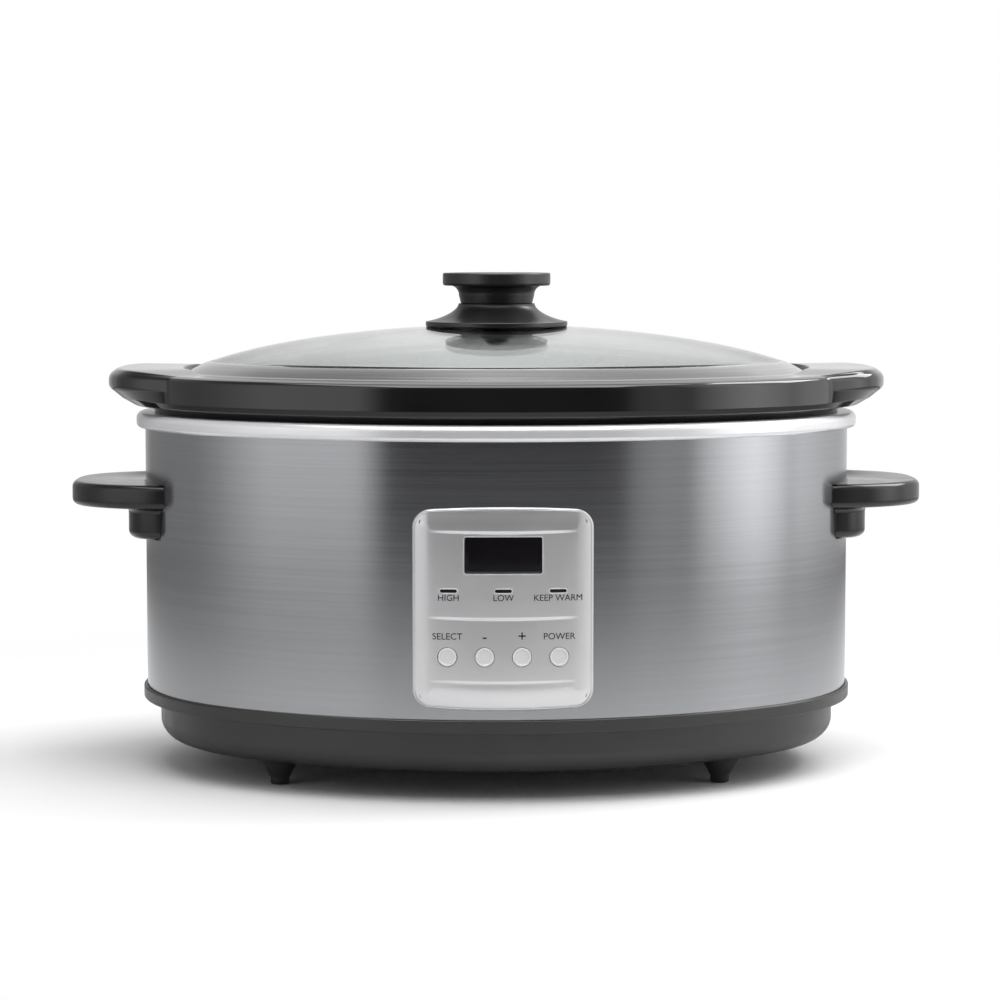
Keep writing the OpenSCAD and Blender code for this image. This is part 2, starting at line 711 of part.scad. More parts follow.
module lid_glass() color([0.75, 0.85, 0.85, 0.45]) difference() {
    swing = asin((body_half_depth + glass_in + 6) / dome_short_radius);
    intersection() {
        translate([0, 0, dome_top - dome_short_radius]) rotate([0, 90, 0]) rotate(180 - swing)
            rotate_extrude(angle = 2 * swing, $fn = 360) intersection() {
                translate([dome_short_radius - dome_long_radius, 0]) difference() {
                    circle(r = dome_long_radius, $fn = 720);
                    circle(r = dome_long_radius - glass, $fn = 720);
                }
                translate([dome_short_radius - dome_rise - 20, -body_half_length])
                    square([dome_rise + 40, 2 * body_half_length]);
            }
        translate([0, 0, lid_seat - 60]) linear_extrude(120) oval(glass_in);
    }
    translate([0, 0, dome_top - 20]) cylinder(r = screw_radius + 0.5, h = 40);
}

// The band's shoulder slopes down from the glass to a rolled edge, and its seat carries the glass.
module lid_band() color("silver") sweep() polygon([
    [glass_in - 2.6, lid_band_top], [glass_in + 0.6, lid_band_top - 1],
    each arc(-lid_in - 1.2, lid_seat + 1.2, 1.2, 62, -90, 5), [glass_in - 4.5, lid_seat],
    [glass_in - 4.5, glass_edge_top - 1.07 * glass - 0.6],
    [glass_in + 0.2, glass_edge_top - 1.07 * glass - 0.2],
    [glass_in + 0.2, glass_edge_top + 0.2], [glass_in - 2.6, lid_band_top - 0.5]
]);

module knob() color([0.05, 0.05, 0.05]) difference() {
    rotate_extrude() polygon([
        [0, knob_base_top + fit], [neck_radius - 1, knob_base_top + fit],
        [neck_radius, knob_neck_top - 1],
        for (i = [1 : 8]) let (a = i * 90 / 8)
            [neck_radius + 4.6 * (1 - cos(a)),
             knob_neck_top - 1 + (knob_disc_bottom - knob_neck_top + 1) * sin(a)],
        [knob_radius, knob_disc_bottom], each arc(knob_radius - 0.6, knob_top - 0.8, 0.6, 0, 90, 3),
        [0, knob_top]
    ]);
    translate([0, 0, knob_base_top - eps]) cylinder(r = 4.5 + fit, h = 9 + eps);
}

// The knob's base rests on the gasket; its flange reaches down beside the dome's crown.
module knob_base() color([0.05, 0.05, 0.05]) difference() {
    rotate_extrude() polygon([
        [0, dome_top + gasket_thickness], [gasket_radius + 2, dome_top + gasket_thickness],
        [knob_base_radius - 3, dome_top - 0.7], [knob_base_radius - 0.6, dome_top - 0.9],
        [knob_base_radius, dome_top - 0.4], [knob_base_radius, dome_top + 0.9],
        for (i = [0 : 10]) let (a = i * 9)
            [knob_base_radius - 1.4 - (knob_base_radius - neck_radius - 0.4) * sin(a),
             knob_base_top - (knob_base_top - dome_top - 1.2) * cos(a)],
        [0, knob_base_top]
    ]);
    translate([0, 0, dome_top - 5]) cylinder(r = screw_radius + 0.3, h = 30);
}

module knob_insert() color("goldenrod") difference() {
    translate([0, 0, knob_base_top + fit]) cylinder(r = 4.5, h = 8.5);
    translate([0, 0, knob_base_top - eps]) cylinder(r = screw_radius + press, h = 8);
}

module knob_gasket() color("dimgray") difference() {
    translate([0, 0, dome_top]) cylinder(r = gasket_radius, h = gasket_thickness - press);
    translate([0, 0, dome_top - eps]) cylinder(r = screw_radius + 0.3, h = 5);
}

module knob_washer() color("silver") difference() {
    translate([0, 0, dome_top - glass - washer_thickness - 0.1]) cylinder(r = 8, h = washer_thickness);
    translate([0, 0, dome_top - glass - 5]) cylinder(r = screw_radius + 0.2, h = 10);
}

module knob_screw() color("gray") union() {
    translate([0, 0, dome_top - glass - washer_thickness - 2.3]) cylinder(r = knob_screw_head, h = 2.1);
    translate([0, 0, dome_top - glass - washer_thickness - 1])
        cylinder(r = screw_radius, h = knob_base_top + 6 - dome_top + glass + washer_thickness + 1);
}

housing();
rim_ring();
inner_liner();
heater_band();
base_shell();
foot_pads();
tie_stud();
tie_nut();
cord_gland();
gland_nut();
side_handle_left();
side_handle_right();
handle_screws();
panel_bezel();
panel_screws();
display_window();
display_module();
indicator_lenses();
indicator_leds();
control_board();
control_board_screws();
tactile_switches();
power_board();
power_board_screws();
relay();
transformer();
filter_capacitor();
terminal_block();
temperature_sensor();
sensor_clip();
thermal_fuse();
fuse_clip();
heater_leads();
ribbon_cable();
crock();
lid_glass();
lid_band();
knob();
knob_base();
knob_insert();
knob_gasket();
knob_washer();
knob_screw();
select_button();
minus_button();
plus_button();
power_button();
select_plunger();
minus_plunger();
plus_plunger();
power_plunger();
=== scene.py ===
# %% [markdown]
# # An oval slow cooker, piece by piece
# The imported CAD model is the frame: every body, every place and every size comes from it.
# Each step first says what the real piece is and how it is made, then makes it.
# Lengths are in metres, +Z is up, and the control panel faces -Y.

import bmesh
import bpy
import numpy as np
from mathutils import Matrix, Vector


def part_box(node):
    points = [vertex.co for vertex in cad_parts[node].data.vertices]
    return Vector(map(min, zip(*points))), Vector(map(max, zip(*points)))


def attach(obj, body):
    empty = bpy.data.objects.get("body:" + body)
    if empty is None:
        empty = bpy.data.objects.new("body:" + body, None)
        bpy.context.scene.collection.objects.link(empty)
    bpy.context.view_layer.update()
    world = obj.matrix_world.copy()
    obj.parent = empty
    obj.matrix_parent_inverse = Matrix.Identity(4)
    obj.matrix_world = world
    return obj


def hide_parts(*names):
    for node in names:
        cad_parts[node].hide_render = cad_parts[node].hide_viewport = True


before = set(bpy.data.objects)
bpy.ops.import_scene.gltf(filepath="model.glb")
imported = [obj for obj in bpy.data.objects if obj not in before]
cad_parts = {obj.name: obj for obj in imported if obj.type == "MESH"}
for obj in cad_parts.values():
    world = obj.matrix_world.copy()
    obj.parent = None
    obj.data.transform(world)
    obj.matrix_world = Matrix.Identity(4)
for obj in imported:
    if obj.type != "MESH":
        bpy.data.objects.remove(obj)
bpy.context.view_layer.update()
MM = 0.001

# %% [markdown]
# ## Camera
# A long lens from a little above the rim keeps the walls of the housing nearly parallel.
# The camera stands slightly left of the middle and looks down by a few degrees, with no lens shift.

# %% Camera
def add_camera(place, pitch, yaw, lens):
    """Camera at place; yaw turns it right from +Y and pitch turns it down, both in degrees."""
    data = bpy.data.cameras.new("camera")
    data.lens = lens
    data.sensor_width = 36
    camera = bpy.data.objects.new("camera", data)
    camera.location = place
    camera.rotation_euler = (np.radians(90 - pitch), 0, np.radians(-yaw))
    bpy.context.collection.objects.link(camera)
    bpy.context.scene.camera = camera
    return camera


camera = add_camera((-0.0349, -1.5324, 0.2651), pitch=4.936, yaw=1.37, lens=108.1)
print("camera at", tuple(round(v, 3) for v in camera.location))

# %% [markdown]
# ## The oval
# The plan is a four-arc oval on a 3-4-5 triangle. A point of it is the centre of its arc plus
# the arc's radius along the outward normal, so moving out by t only adds t to the radius.
# Every shell of the cooker is a profile of (offset, height) points carried round this oval.

# %% Oval and circle plans
housing_low, housing_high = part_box("housing")
half_length, half_depth = housing_high[0], housing_high[1]
unit = (half_length - half_depth) / 2
end_radius, side_radius = half_length - 3 * unit, half_depth + 4 * unit
end_angle = np.arctan2(4, 3)


def oval_turn(steps_end=36, steps_side=48):
    """Normal angles once round the oval, evenly spaced on each arc, starting at +X."""
    ends = np.linspace(-end_angle, end_angle, steps_end, endpoint=False)
    sides = np.linspace(end_angle, np.pi - end_angle, steps_side, endpoint=False)
    return np.concatenate([ends, sides, ends + np.pi, sides + np.pi])


def oval_point(offset, angle):
    """Arc centre plus (arc radius + offset) along the normal (cos angle, sin angle)."""
    cos, sin = np.cos(angle), np.sin(angle)
    at_end = np.abs(cos) >= np.cos(end_angle) - 1e-9
    centre_x = np.where(at_end, 3 * unit * np.sign(cos), 0)
    centre_y = np.where(at_end, 0, -4 * unit * np.sign(sin))
    radius = np.where(at_end, end_radius, side_radius) + offset
    return centre_x + radius * cos, centre_y + radius * sin


def circle_turn(steps=96):
    """Angles once round a circle."""
    return np.linspace(0, 2 * np.pi, steps, endpoint=False)


print(f"oval {2 * half_length:.4f} x {2 * half_depth:.4f}, arcs {end_radius:.4f} and {side_radius:.4f}")

# %% [markdown]
# ## From arrays to meshes
# A piece is a grid of points, rows by columns. Its faces are the grid's squares, worked out as whole
# arrays. A row that shrinks to one point becomes a pole when the doubles are merged, and the
# normals are turned outwards after that. A weighted-normal modifier keeps the flats flat
# and lets the small rounded edges catch the light.

# %% Grid meshes
def grid_faces(rows, columns, close_rows, close_columns):
    """Four corner indices for each square of the grid, wrapping round where asked."""
    r = np.arange(rows if close_rows else rows - 1)[:, None]
    c = np.arange(columns if close_columns else columns - 1)[None, :]
    r2, c2 = (r + 1) % rows, (c + 1) % columns
    return np.stack([r * columns + c, r * columns + c2, r2 * columns + c2, r2 * columns + c],
        -1).reshape(-1, 4)


def mesh_object(name, points, faces, smooth=True):
    """A linked object from points (n, 3) and faces, doubles merged and normals outwards."""
    mesh = bpy.data.meshes.new(name)
    mesh.from_pydata(np.asarray(points).reshape(-1, 3).tolist(), [], [list(map(int, f)) for f in faces])
    shape = bmesh.new()
    shape.from_mesh(mesh)
    bmesh.ops.remove_doubles(shape, verts=shape.verts, dist=1e-6)
    bmesh.ops.dissolve_degenerate(shape, edges=shape.edges, dist=1e-7)
    bmesh.ops.recalc_face_normals(shape, faces=shape.faces)
    shape.to_mesh(mesh)
    shape.free()
    mesh.polygons.foreach_set("use_smooth", np.full(len(mesh.polygons), smooth))
    piece = bpy.data.objects.new(name, mesh)
    bpy.context.collection.objects.link(piece)
    return piece


def grid_object(name, x, y, z, close_rows=True, close_columns=True):
    """One object from three arrays of the same (rows, columns) shape."""
    points = np.stack(np.broadcast_arrays(x, y, z), -1)
    return mesh_object(name, points, grid_faces(*points.shape[:2], close_rows, close_columns))


def weighted(piece):
    """Adds the modifier that weighs normals by face area."""
    modifier = piece.modifiers.new("weighted normals", "WEIGHTED_NORMAL")
    modifier.keep_sharp = True
    modifier.weight = 80
    return piece


def rounded(corners, closed=True, steps=5):
    """Profile through (x, z, radius) corners, each corner replaced by an arc tangent to both sides."""
    corners = np.array(corners, float)
    count = len(corners)
    points = []
    for i, (x, z, radius) in enumerate(corners):
        here = np.array([x, z])
        if radius <= 0 or (not closed and i in (0, count - 1)):
            points.append(here[None])
            continue
        back, on = corners[i - 1][:2] - here, corners[(i + 1) % count][:2] - here
        reach_back, reach_on = np.linalg.norm(back), np.linalg.norm(on)
        back, on = back / reach_back, on / reach_on
        half = np.arccos(np.clip(back @ on, -1, 1)) / 2
        trim = min(radius / np.tan(half), 0.49 * reach_back, 0.49 * reach_on)
        radius = trim * np.tan(half)
        middle = here + (back + on) / np.linalg.norm(back + on) * radius / np.sin(half)
        start, end = here + back * trim - middle, here + on * trim - middle
        share = np.linspace(0, 1, steps + 1)[:, None]
        arc = start * (1 - share) + end * share
        points.append(middle + arc / np.linalg.norm(arc, axis=1)[:, None] * radius)
    return np.concatenate(points)


def carry(name, profile, turn=None, shrink=None, close_rows=True):
    """A profile of (offset, z) points carried round the oval. shrink scales a row's plan, 0 for a pole."""
    turn = oval_turn() if turn is None else turn
    x, y = oval_point(profile[:, :1], turn[None, :])
    scale = np.ones((len(profile), 1)) if shrink is None else np.asarray(shrink, float)[:, None]
    return weighted(grid_object(name, x * scale, y * scale, profile[:, 1:2], close_rows))


def turned(name, profile, centre=(0, 0), steps=96, close_rows=True):
    """A profile of (radius, z) points turned about an upright axis through centre."""
    turn = circle_turn(steps)[None, :]
    x = centre[0] + profile[:, :1] * np.cos(turn)
    y = centre[1] + profile[:, :1] * np.sin(turn)
    return weighted(grid_object(name, x, y, profile[:, 1:2], close_rows))


def place(piece, body, slot, material, *nodes):
    """Gives a piece its body and its material, and hides the CAD nodes that it stands for; slot is not used.
    """
    piece.data.materials.clear()
    piece.data.materials.append(material)
    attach(piece, body)
    if nodes:
        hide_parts(*nodes)
    print(f"{piece.name}: {len(piece.data.polygons)} faces on {body}")


# %% [markdown]
# ## Effects that several finishes share
# Each effect is one node group: moulded grain for plastics and rubber, brushed lines for the
# steel sheet, and handling marks, the soft patches that fingers and wiping leave on a gloss.
# The groups put out only masks and heights; the shader stays in each material.

# %% Node group helper
def new_group(name, inputs, outputs):
    """An empty shader group with named inputs {name: default} and outputs, and its two end nodes."""
    group = bpy.data.node_groups.new(name, "ShaderNodeTree")
    group.interface.new_socket("Vector", in_out="INPUT", socket_type="NodeSocketVector")
    for label, value in inputs.items():
        group.interface.new_socket(label, in_out="INPUT",
            socket_type="NodeSocketFloat").default_value = value
    for label in outputs:
        group.interface.new_socket(label, in_out="OUTPUT", socket_type="NodeSocketFloat")
    return group, group.nodes.new("NodeGroupInput"), group.nodes.new("NodeGroupOutput")


def add(tree, kind, links=None, **settings):
    """A new node. Settings that name a socket fill it; the others are attributes. links joins sockets."""
    made = tree.nodes.new(kind)
    for key, value in settings.items():
        if hasattr(made, key):
            setattr(made, key, value)
    for key, value in settings.items():
        if not hasattr(made, key):
            made.inputs[key.replace("_", " ")].default_value = value
    for socket, source in (links or {}).items():
        tree.links.new(source, made.inputs[socket])
    return made


# %% Moulded grain
def make_moulded_grain():
    """Height: fine noise, the spark-eroded skin of a mould. Tone: slow noise, 0 to 1."""
    group, start, end = new_group("moulded_grain", {"Scale": 900.0, "Slow": 18.0}, ["Height", "Tone"])
    fine = add(group, "ShaderNodeTexNoise",
        {"Vector": start.outputs["Vector"], "Scale": start.outputs["Scale"]}, Detail=3.0)
    slow = add(group, "ShaderNodeTexNoise",
        {"Vector": start.outputs["Vector"], "Scale": start.outputs["Slow"]}, Detail=2.0)
    tone = add(group, "ShaderNodeMapRange", {"Value": slow.outputs["Fac"]}, From_Min=0.3, From_Max=0.7)
    group.links.new(fine.outputs["Fac"], end.inputs["Height"])
    group.links.new(tone.outputs["Result"], end.inputs["Tone"])
    return group


moulded_grain = make_moulded_grain()
print("group", moulded_grain.name)

# %% Brushed lines
def make_brushed_lines():
    """Streak: noise squeezed in height and drawn out round the wall, so it reads as level scratches."""
    group, start, end = new_group("brushed_lines", {"Fineness": 2600.0, "Length": 14.0},
        ["Streak", "Broad"])
    stretch = add(group, "ShaderNodeCombineXYZ", {
        "X": start.outputs["Length"], "Y": start.outputs["Length"], "Z": start.outputs["Fineness"]})
    scaled = add(group, "ShaderNodeVectorMath", {0: start.outputs["Vector"], 1: stretch.outputs[0]},
        operation="MULTIPLY")
    fine = add(group, "ShaderNodeTexNoise", {"Vector": scaled.outputs[0]}, Scale=1.0, Detail=4.0,
        Roughness=0.65)
    wide = add(group, "ShaderNodeVectorMath", {0: scaled.outputs[0]}, operation="SCALE", Scale=0.3)
    broad = add(group, "ShaderNodeTexNoise", {"Vector": wide.outputs[0]}, Scale=1.0, Detail=2.0)
    group.links.new(fine.outputs["Fac"], end.inputs["Streak"])
    group.links.new(broad.outputs["Fac"], end.inputs["Broad"])
    return group


brushed_lines = make_brushed_lines()
print("group", brushed_lines.name)

# %% Handling marks
def make_handling_marks():
    """Mask: two noises multiplied and lifted, so soft patches stand out from a clean ground."""
    group, start, end = new_group("handling_marks", {"Scale": 14.0}, ["Mask"])
    patch = add(group, "ShaderNodeTexNoise",
        {"Vector": start.outputs["Vector"], "Scale": start.outputs["Scale"]},
                Detail=4.0, Distortion=0.6)
    wipe = add(group, "ShaderNodeTexNoise", {"Vector": start.outputs["Vector"]}, Scale=55.0, Detail=5.0,
        Distortion=1.5)
    both = add(group, "ShaderNodeMath", {0: patch.outputs["Fac"], 1: wipe.outputs["Fac"]},
        operation="MULTIPLY")
    mask = add(group, "ShaderNodeMapRange", {"Value": both.outputs[0]}, From_Min=0.2, From_Max=0.42)
    group.links.new(mask.outputs["Result"], end.inputs["Mask"])
    return group


handling_marks = make_handling_marks()
print("group", handling_marks.name)

# %% [markdown]
# ## Finishes
# A finish has a base colour that drifts a little, a roughness that the marks change, and a bump
# from its grain. Values that are the same all over are set straight on the shader's sockets.

# %% Material helper
def new_material(name, metallic=0.0, coat=0.0, coat_roughness=0.03, specular=0.5):
    """A node material with an Object coordinate node and a Principled shader; returns its parts."""
    material = bpy.data.materials.new(name)
    material.use_nodes = True
    tree = material.node_tree
    shader = tree.nodes["Principled BSDF"]
    shader.inputs["Metallic"].default_value = metallic
    shader.inputs["Coat Weight"].default_value = coat
    shader.inputs["Coat Roughness"].default_value = coat_roughness
    shader.inputs["Specular IOR Level"].default_value = specular
    coordinates = tree.nodes.new("ShaderNodeTexCoord").outputs["Object"]
    return material, tree, shader, coordinates


def use_group(tree, group, vector, **values):
    """Places a shared group in a material with its own values."""
    node = tree.nodes.new("ShaderNodeGroup")
    node.node_tree = group
    tree.links.new(vector, node.inputs["Vector"])
    for key, value in values.items():
        node.inputs[key].default_value = value
    return node


def colour_between(tree, shader, mask, dark, light):
    """Base colour mixed from two tones by a mask."""
    mix = add(tree, "ShaderNodeMix", {0: mask}, data_type="RGBA")
    mix.inputs[6].default_value = (*dark, 1)
    mix.inputs[7].default_value = (*light, 1)
    tree.links.new(mix.outputs[2], shader.inputs["Base Color"])


def roughness_between(tree, shader, mask, low, high):
    """Roughness from low to high as the mask goes from 0 to 1."""
    ramp = add(tree, "ShaderNodeMapRange", {"Value": mask}, To_Min=low, To_Max=high)
    tree.links.new(ramp.outputs["Result"], shader.inputs["Roughness"])


def bump_from(tree, shader, height, strength, distance):
    """Bump from a height, as deep as distance metres at full strength."""
    bump = add(tree, "ShaderNodeBump", {"Height": height}, Strength=strength, Distance=distance)
    tree.links.new(bump.outputs["Normal"], shader.inputs["Normal"])


def plastic(name, dark, light, rough, grain=0.0, grain_scale=900.0, marks=14.0, coat=0.0, specular=0.5,
    metallic=0.0):
    """Moulded or glazed finish: rough is the clean and the marked roughness, grain the bump's strength."""
    material, tree, shader, at = new_material(name, coat=coat, specular=specular, metallic=metallic)
    skin = use_group(tree, moulded_grain, at, Scale=grain_scale)
    touched = use_group(tree, handling_marks, at, Scale=marks)
    colour_between(tree, shader, skin.outputs["Tone"], dark, light)
    roughness_between(tree, shader, touched.outputs["Mask"], *rough)
    if grain:
        bump_from(tree, shader, skin.outputs["Height"], grain, 0.0002)
    return material


# %% [markdown]
# ### Brushed steel
# The housing is dark stainless sheet, brushed lengthwise before it is rolled into the oval. The level
# lines spread every reflection up and down, so a lamp beside it becomes a tall soft column.

# %% Brushed steel
def brushed_steel(name, dark, light, rough, fineness=2600.0, strength=0.06, spread=0.0):
    """Metal whose tone, roughness and bump all follow the lines; spread stretches reflections across them."""
    material, tree, shader, at = new_material(name, metallic=1.0)
    shader.inputs["Anisotropic"].default_value = spread
    shader.inputs["Anisotropic Rotation"].default_value = 0.25
    lines = use_group(tree, brushed_lines, at, Fineness=fineness)
    both = add(tree, "ShaderNodeMath", {0: lines.outputs["Streak"], 1: lines.outputs["Broad"]},
        operation="ADD")
    mask = add(tree, "ShaderNodeMapRange", {"Value": both.outputs[0]}, From_Min=0.75, From_Max=1.25)
    colour_between(tree, shader, mask.outputs["Result"], dark, light)
    roughness_between(tree, shader, mask.outputs["Result"], *rough)
    bump_from(tree, shader, lines.outputs["Streak"], strength, 0.00005)
    return material


housing_steel = brushed_steel("brushed_housing_steel", (0.405, 0.41, 0.425), (0.435, 0.44, 0.455),
    (0.165, 0.19), strength=0.04,
                              spread=0.62)
liner_steel = brushed_steel("aluminised_liner", (0.5, 0.5, 0.5), (0.64, 0.64, 0.64), (0.35, 0.5),
    fineness=300.0)
zinc_plate = brushed_steel("zinc_plate", (0.5, 0.5, 0.49), (0.68, 0.68, 0.66), (0.25, 0.4),
    fineness=700.0, strength=0.3)
band_steel = brushed_steel("polished_band_steel", (0.72, 0.72, 0.73), (0.84, 0.84, 0.85), (0.1, 0.16),
    strength=0.03)
brass = brushed_steel("insert_brass", (0.55, 0.4, 0.18), (0.78, 0.6, 0.3), (0.25, 0.35), fineness=600.0)
print("steels ready")

# %% [markdown]
# ### Plastics, rubber and glaze
# The handles and knob are polished black phenolic, the base a fine-textured warm grey-black, the
# panel and buttons silver paint on plastic. The crock has a thick black glaze with a slight ripple.

# %% Plastics, rubber and glaze
handle_black = plastic("handle_black", (0.008, 0.008, 0.009), (0.014, 0.014, 0.015), (0.16, 0.27),
    grain=0.03, specular=0.6)
knob_black = plastic("knob_black", (0.012, 0.011, 0.011), (0.017, 0.0155, 0.0155), (0.3, 0.38),
    grain=0.03, specular=0.8)
base_black = plastic("base_black", (0.016, 0.0145, 0.014), (0.026, 0.0235, 0.0225), (0.3, 0.4), grain=0.1,
    specular=0.7)
pad_rubber = plastic("pad_rubber", (0.012, 0.012, 0.012), (0.03, 0.03, 0.03), (0.6, 0.8), grain=0.4)
silver_paint = plastic("panel_silver", (0.78, 0.78, 0.795), (0.82, 0.82, 0.83), (0.28, 0.32), grain=0.03,
    metallic=0.72)
button_silver = plastic("button_silver", (0.8, 0.8, 0.81), (0.86, 0.86, 0.86), (0.34, 0.4), grain=0.04,
    metallic=0.1)
ring_silver = plastic("ring_silver", (0.93, 0.93, 0.95), (0.96, 0.96, 0.98), (0.2, 0.26), grain=0.02,
    metallic=0.42)
window_black = plastic("window_black", (0.004, 0.003, 0.005), (0.007, 0.005, 0.008), (0.05, 0.1), coat=0.5)
lens_white = plastic("lens_white", (0.5, 0.5, 0.48), (0.62, 0.62, 0.6), (0.3, 0.4))
label_ink = plastic("label_ink", (0.012, 0.012, 0.014), (0.02, 0.02, 0.022), (0.6, 0.7), specular=0.2)
board_green = plastic("board_green", (0.02, 0.11, 0.05), (0.03, 0.16, 0.07), (0.35, 0.5))
part_blue = plastic("part_blue", (0.02, 0.06, 0.2), (0.03, 0.09, 0.28), (0.3, 0.4), grain=0.1)
tape_yellow = plastic("tape_yellow", (0.5, 0.36, 0.06), (0.62, 0.47, 0.1), (0.3, 0.45), grain=0.1)
terminal_green = plastic("terminal_green", (0.03, 0.2, 0.06), (0.05, 0.28, 0.09), (0.35, 0.5), grain=0.1)
mica_tan = plastic("mica_tan", (0.34, 0.27, 0.18), (0.5, 0.42, 0.3), (0.6, 0.8), grain=0.6,
    grain_scale=400.0)
sleeve_white = plastic("sleeve_white", (0.6, 0.58, 0.52), (0.75, 0.73, 0.68), (0.6, 0.8), grain=0.5,
    grain_scale=1800.0)
screw_black = plastic("screw_black", (0.02, 0.02, 0.022), (0.04, 0.04, 0.042), (0.25, 0.4), grain=0.05,
    metallic=0.6)
glaze = plastic("black_glaze", (0.006, 0.006, 0.0065), (0.011, 0.0105, 0.011), (0.09, 0.15), grain=0.05,
    grain_scale=90.0,
                coat=0.6)
print("plastics ready")

# %% [markdown]
# ### Lid glass
# Tempered soda-lime glass, 4.5 mm thick. It keeps a plain transmission, a faint green in its
# colour, and only the faintest wiping marks in its roughness.

# %% Lid glass
def tempered_glass():
    """Clear glass with a refractive index of 1.5 and a trace of wiping marks."""
    material, tree, shader, at = new_material("tempered_glass")
    shader.inputs["Transmission Weight"].default_value = 1.0
    shader.inputs["IOR"].default_value = 1.5
    shader.inputs["Base Color"].default_value = (0.95, 0.975, 0.97, 1)
    touched = use_group(tree, handling_marks, at, Scale=9.0)
    roughness_between(tree, shader, touched.outputs["Mask"], 0.01, 0.06)
    return material


glass = tempered_glass()
print("glass ready")

# %% [markdown]
# ## Housing, ring and base
# The housing is one rolled sheet. Its lower edge stands in a groove of the base shell and its
# upper edge in a groove of the rim ring, so both of those profiles have the groove in them.

# %% Steel housing
sheet = 1.0 * MM
groove = 0.15 * MM


def housing_skin():
    """A sheet section, 1 mm thick, carried round the oval."""
    low, high = housing_low[2], housing_high[2]
    edge = 0.2 * MM
    section = rounded([(-sheet, low, edge), (0, low, edge), (0, high, edge), (-sheet, high, edge)], steps=3)
    return carry("housing_skin", section, oval_turn(72, 96))


place(housing_skin(), "heating_base", "brushed_housing", housing_steel, "housing")

# %% Rim ring
ring_low, ring_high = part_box("rim_ring")
ring_out = ring_high[0] - half_length


def rim_ring_piece():
    """Rounded nose outside, groove for the housing below, ledge for the well's flange inside."""
    low, high = ring_low[2], ring_high[2]
    slot_top, slot = housing_high[2] + 0.1 * MM, groove
    section = rounded([
        (ring_out, high, 3 * MM), (ring_out, low, 2.2 * MM), (slot, low, 0.3 * MM),
            (slot, slot_top, 0.1 * MM),
        (-sheet - slot, slot_top, 0.1 * MM), (-sheet - slot, low, 0.3 * MM), (-3 * MM, low, 0.3 * MM),
        (-3 * MM, low + 1 * MM, 0.5 * MM), (-10.5 * MM, high - 2.6 * MM, 0.3 * MM),
        (-10.5 * MM, high - 1.2 * MM, 0.2 * MM), (-4.9 * MM, high - 1.2 * MM, 0.1 * MM),
            (-4.9 * MM, high, 0.3 * MM),
    ])
    return carry("silver_rim_ring", section, oval_turn(60, 80))


place(rim_ring_piece(), "heating_base", "satin_ring", ring_silver, "rim_ring")

# %% [markdown]
# The base shell is a tray: a lip that carries the housing, a rounded bowl under it, and a flat
# bottom. Past the flat's edge the profile only shrinks towards the middle, down to a pole.

# %% Base shell
base_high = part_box("base_shell")[1]
lip_out = base_high[0] - half_length
base_top = base_high[2]
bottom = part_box("tie_nut")[0][2] + 1.6 * MM
lip_top = base_top - 5 * MM


def base_shell_piece():
    """Outer run from the bottom's middle to the lip, over the groove, and back inside."""
    bowl, wall, radius, flat = -6.7 * MM, 2.5 * MM, 18 * MM, -70 * MM
    under_lip = lip_top - 6.4 * MM
    section = rounded([
        (flat, bottom, 0), (bowl, bottom, radius), (bowl, under_lip, 1.2 * MM),
            (lip_out, under_lip, 0.9 * MM),
        (lip_out, lip_top, 0.8 * MM), (groove, lip_top, 0.2 * MM), (groove, housing_low[2], 0.1 * MM),
        (-sheet - groove, housing_low[2], 0.1 * MM), (-sheet - groove, base_top, 0.3 * MM),
        (-4 * MM, base_top, 0.3 * MM), (-4 * MM, housing_low[2] + 0.2 * MM, 0.5 * MM),
        (bowl - wall, housing_low[2], 1 * MM), (bowl - wall, bottom + wall, radius - wall),
            (flat, bottom + wall, 0),
    ], closed=False, steps=10)
    section = np.concatenate([section[:1], section, section[-1:]])
    shrink = np.ones(len(section))
    shrink[[0, -1]] = 0
    return carry("base_tray", section, oval_turn(60, 80), shrink, close_rows=False)


place(base_shell_piece(), "heating_base", "base_plastic", base_black, "base_shell")

# %% Feet
pad_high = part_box("foot_pads")[1]
pad_radius = 4.6 * MM
foot_x, foot_y = pad_high[0] - pad_radius, pad_high[1] - pad_radius
feet = [(sx * foot_x, sy * foot_y) for sx in (-1, 1) for sy in (-1, 1)]


def joined(name, parts):
    """Several closed solids as one object, their meshes put end to end."""
    points, faces, first = [], [], 0
    for part in parts:
        mesh = part.data
        co = np.empty(len(mesh.vertices) * 3)
        mesh.vertices.foreach_get("co", co)
        points.append(co.reshape(-1, 3))
        faces += [[first + i for i in face.vertices] for face in mesh.polygons]
        first += len(mesh.vertices)
        bpy.data.objects.remove(part)
    return weighted(mesh_object(name, np.concatenate(points), faces))


def foot_cones():
    """Each cone flares upwards in a concave curve until it meets the bowl."""
    t = np.linspace(0, 1, 14)
    radius = pad_radius + 0.7 * MM + 8.2 * MM * t ** 1.25
    z = 4 * MM + 13.5 * MM * t
    flare = np.column_stack([radius, z])
    profile = np.concatenate([[[0, 4 * MM], [pad_radius + 0.3 * MM, 4 * MM]], flare, [[0, z[-1]]]])
    return joined("foot_cones", [turned(f"cone {i}", profile, at, 48, False) for i, at in enumerate(feet)])


def foot_pad_pieces():
    """A rubber disc with a rounded lower edge under each cone."""
    profile = rounded([(0, 0, 0), (pad_radius, 0, 0.8 * MM), (pad_radius, 4 * MM, 0.2 * MM),
        (0, 4 * MM, 0)], closed=False)
    return joined("foot_rubbers", [turned(f"pad {i}", profile, at, 40, False) for i, at in enumerate(feet)])


place(foot_cones(), "heating_base", "base_plastic", base_black)
place(foot_pad_pieces(), "heating_base", "pad_rubber", pad_rubber, "foot_pads")

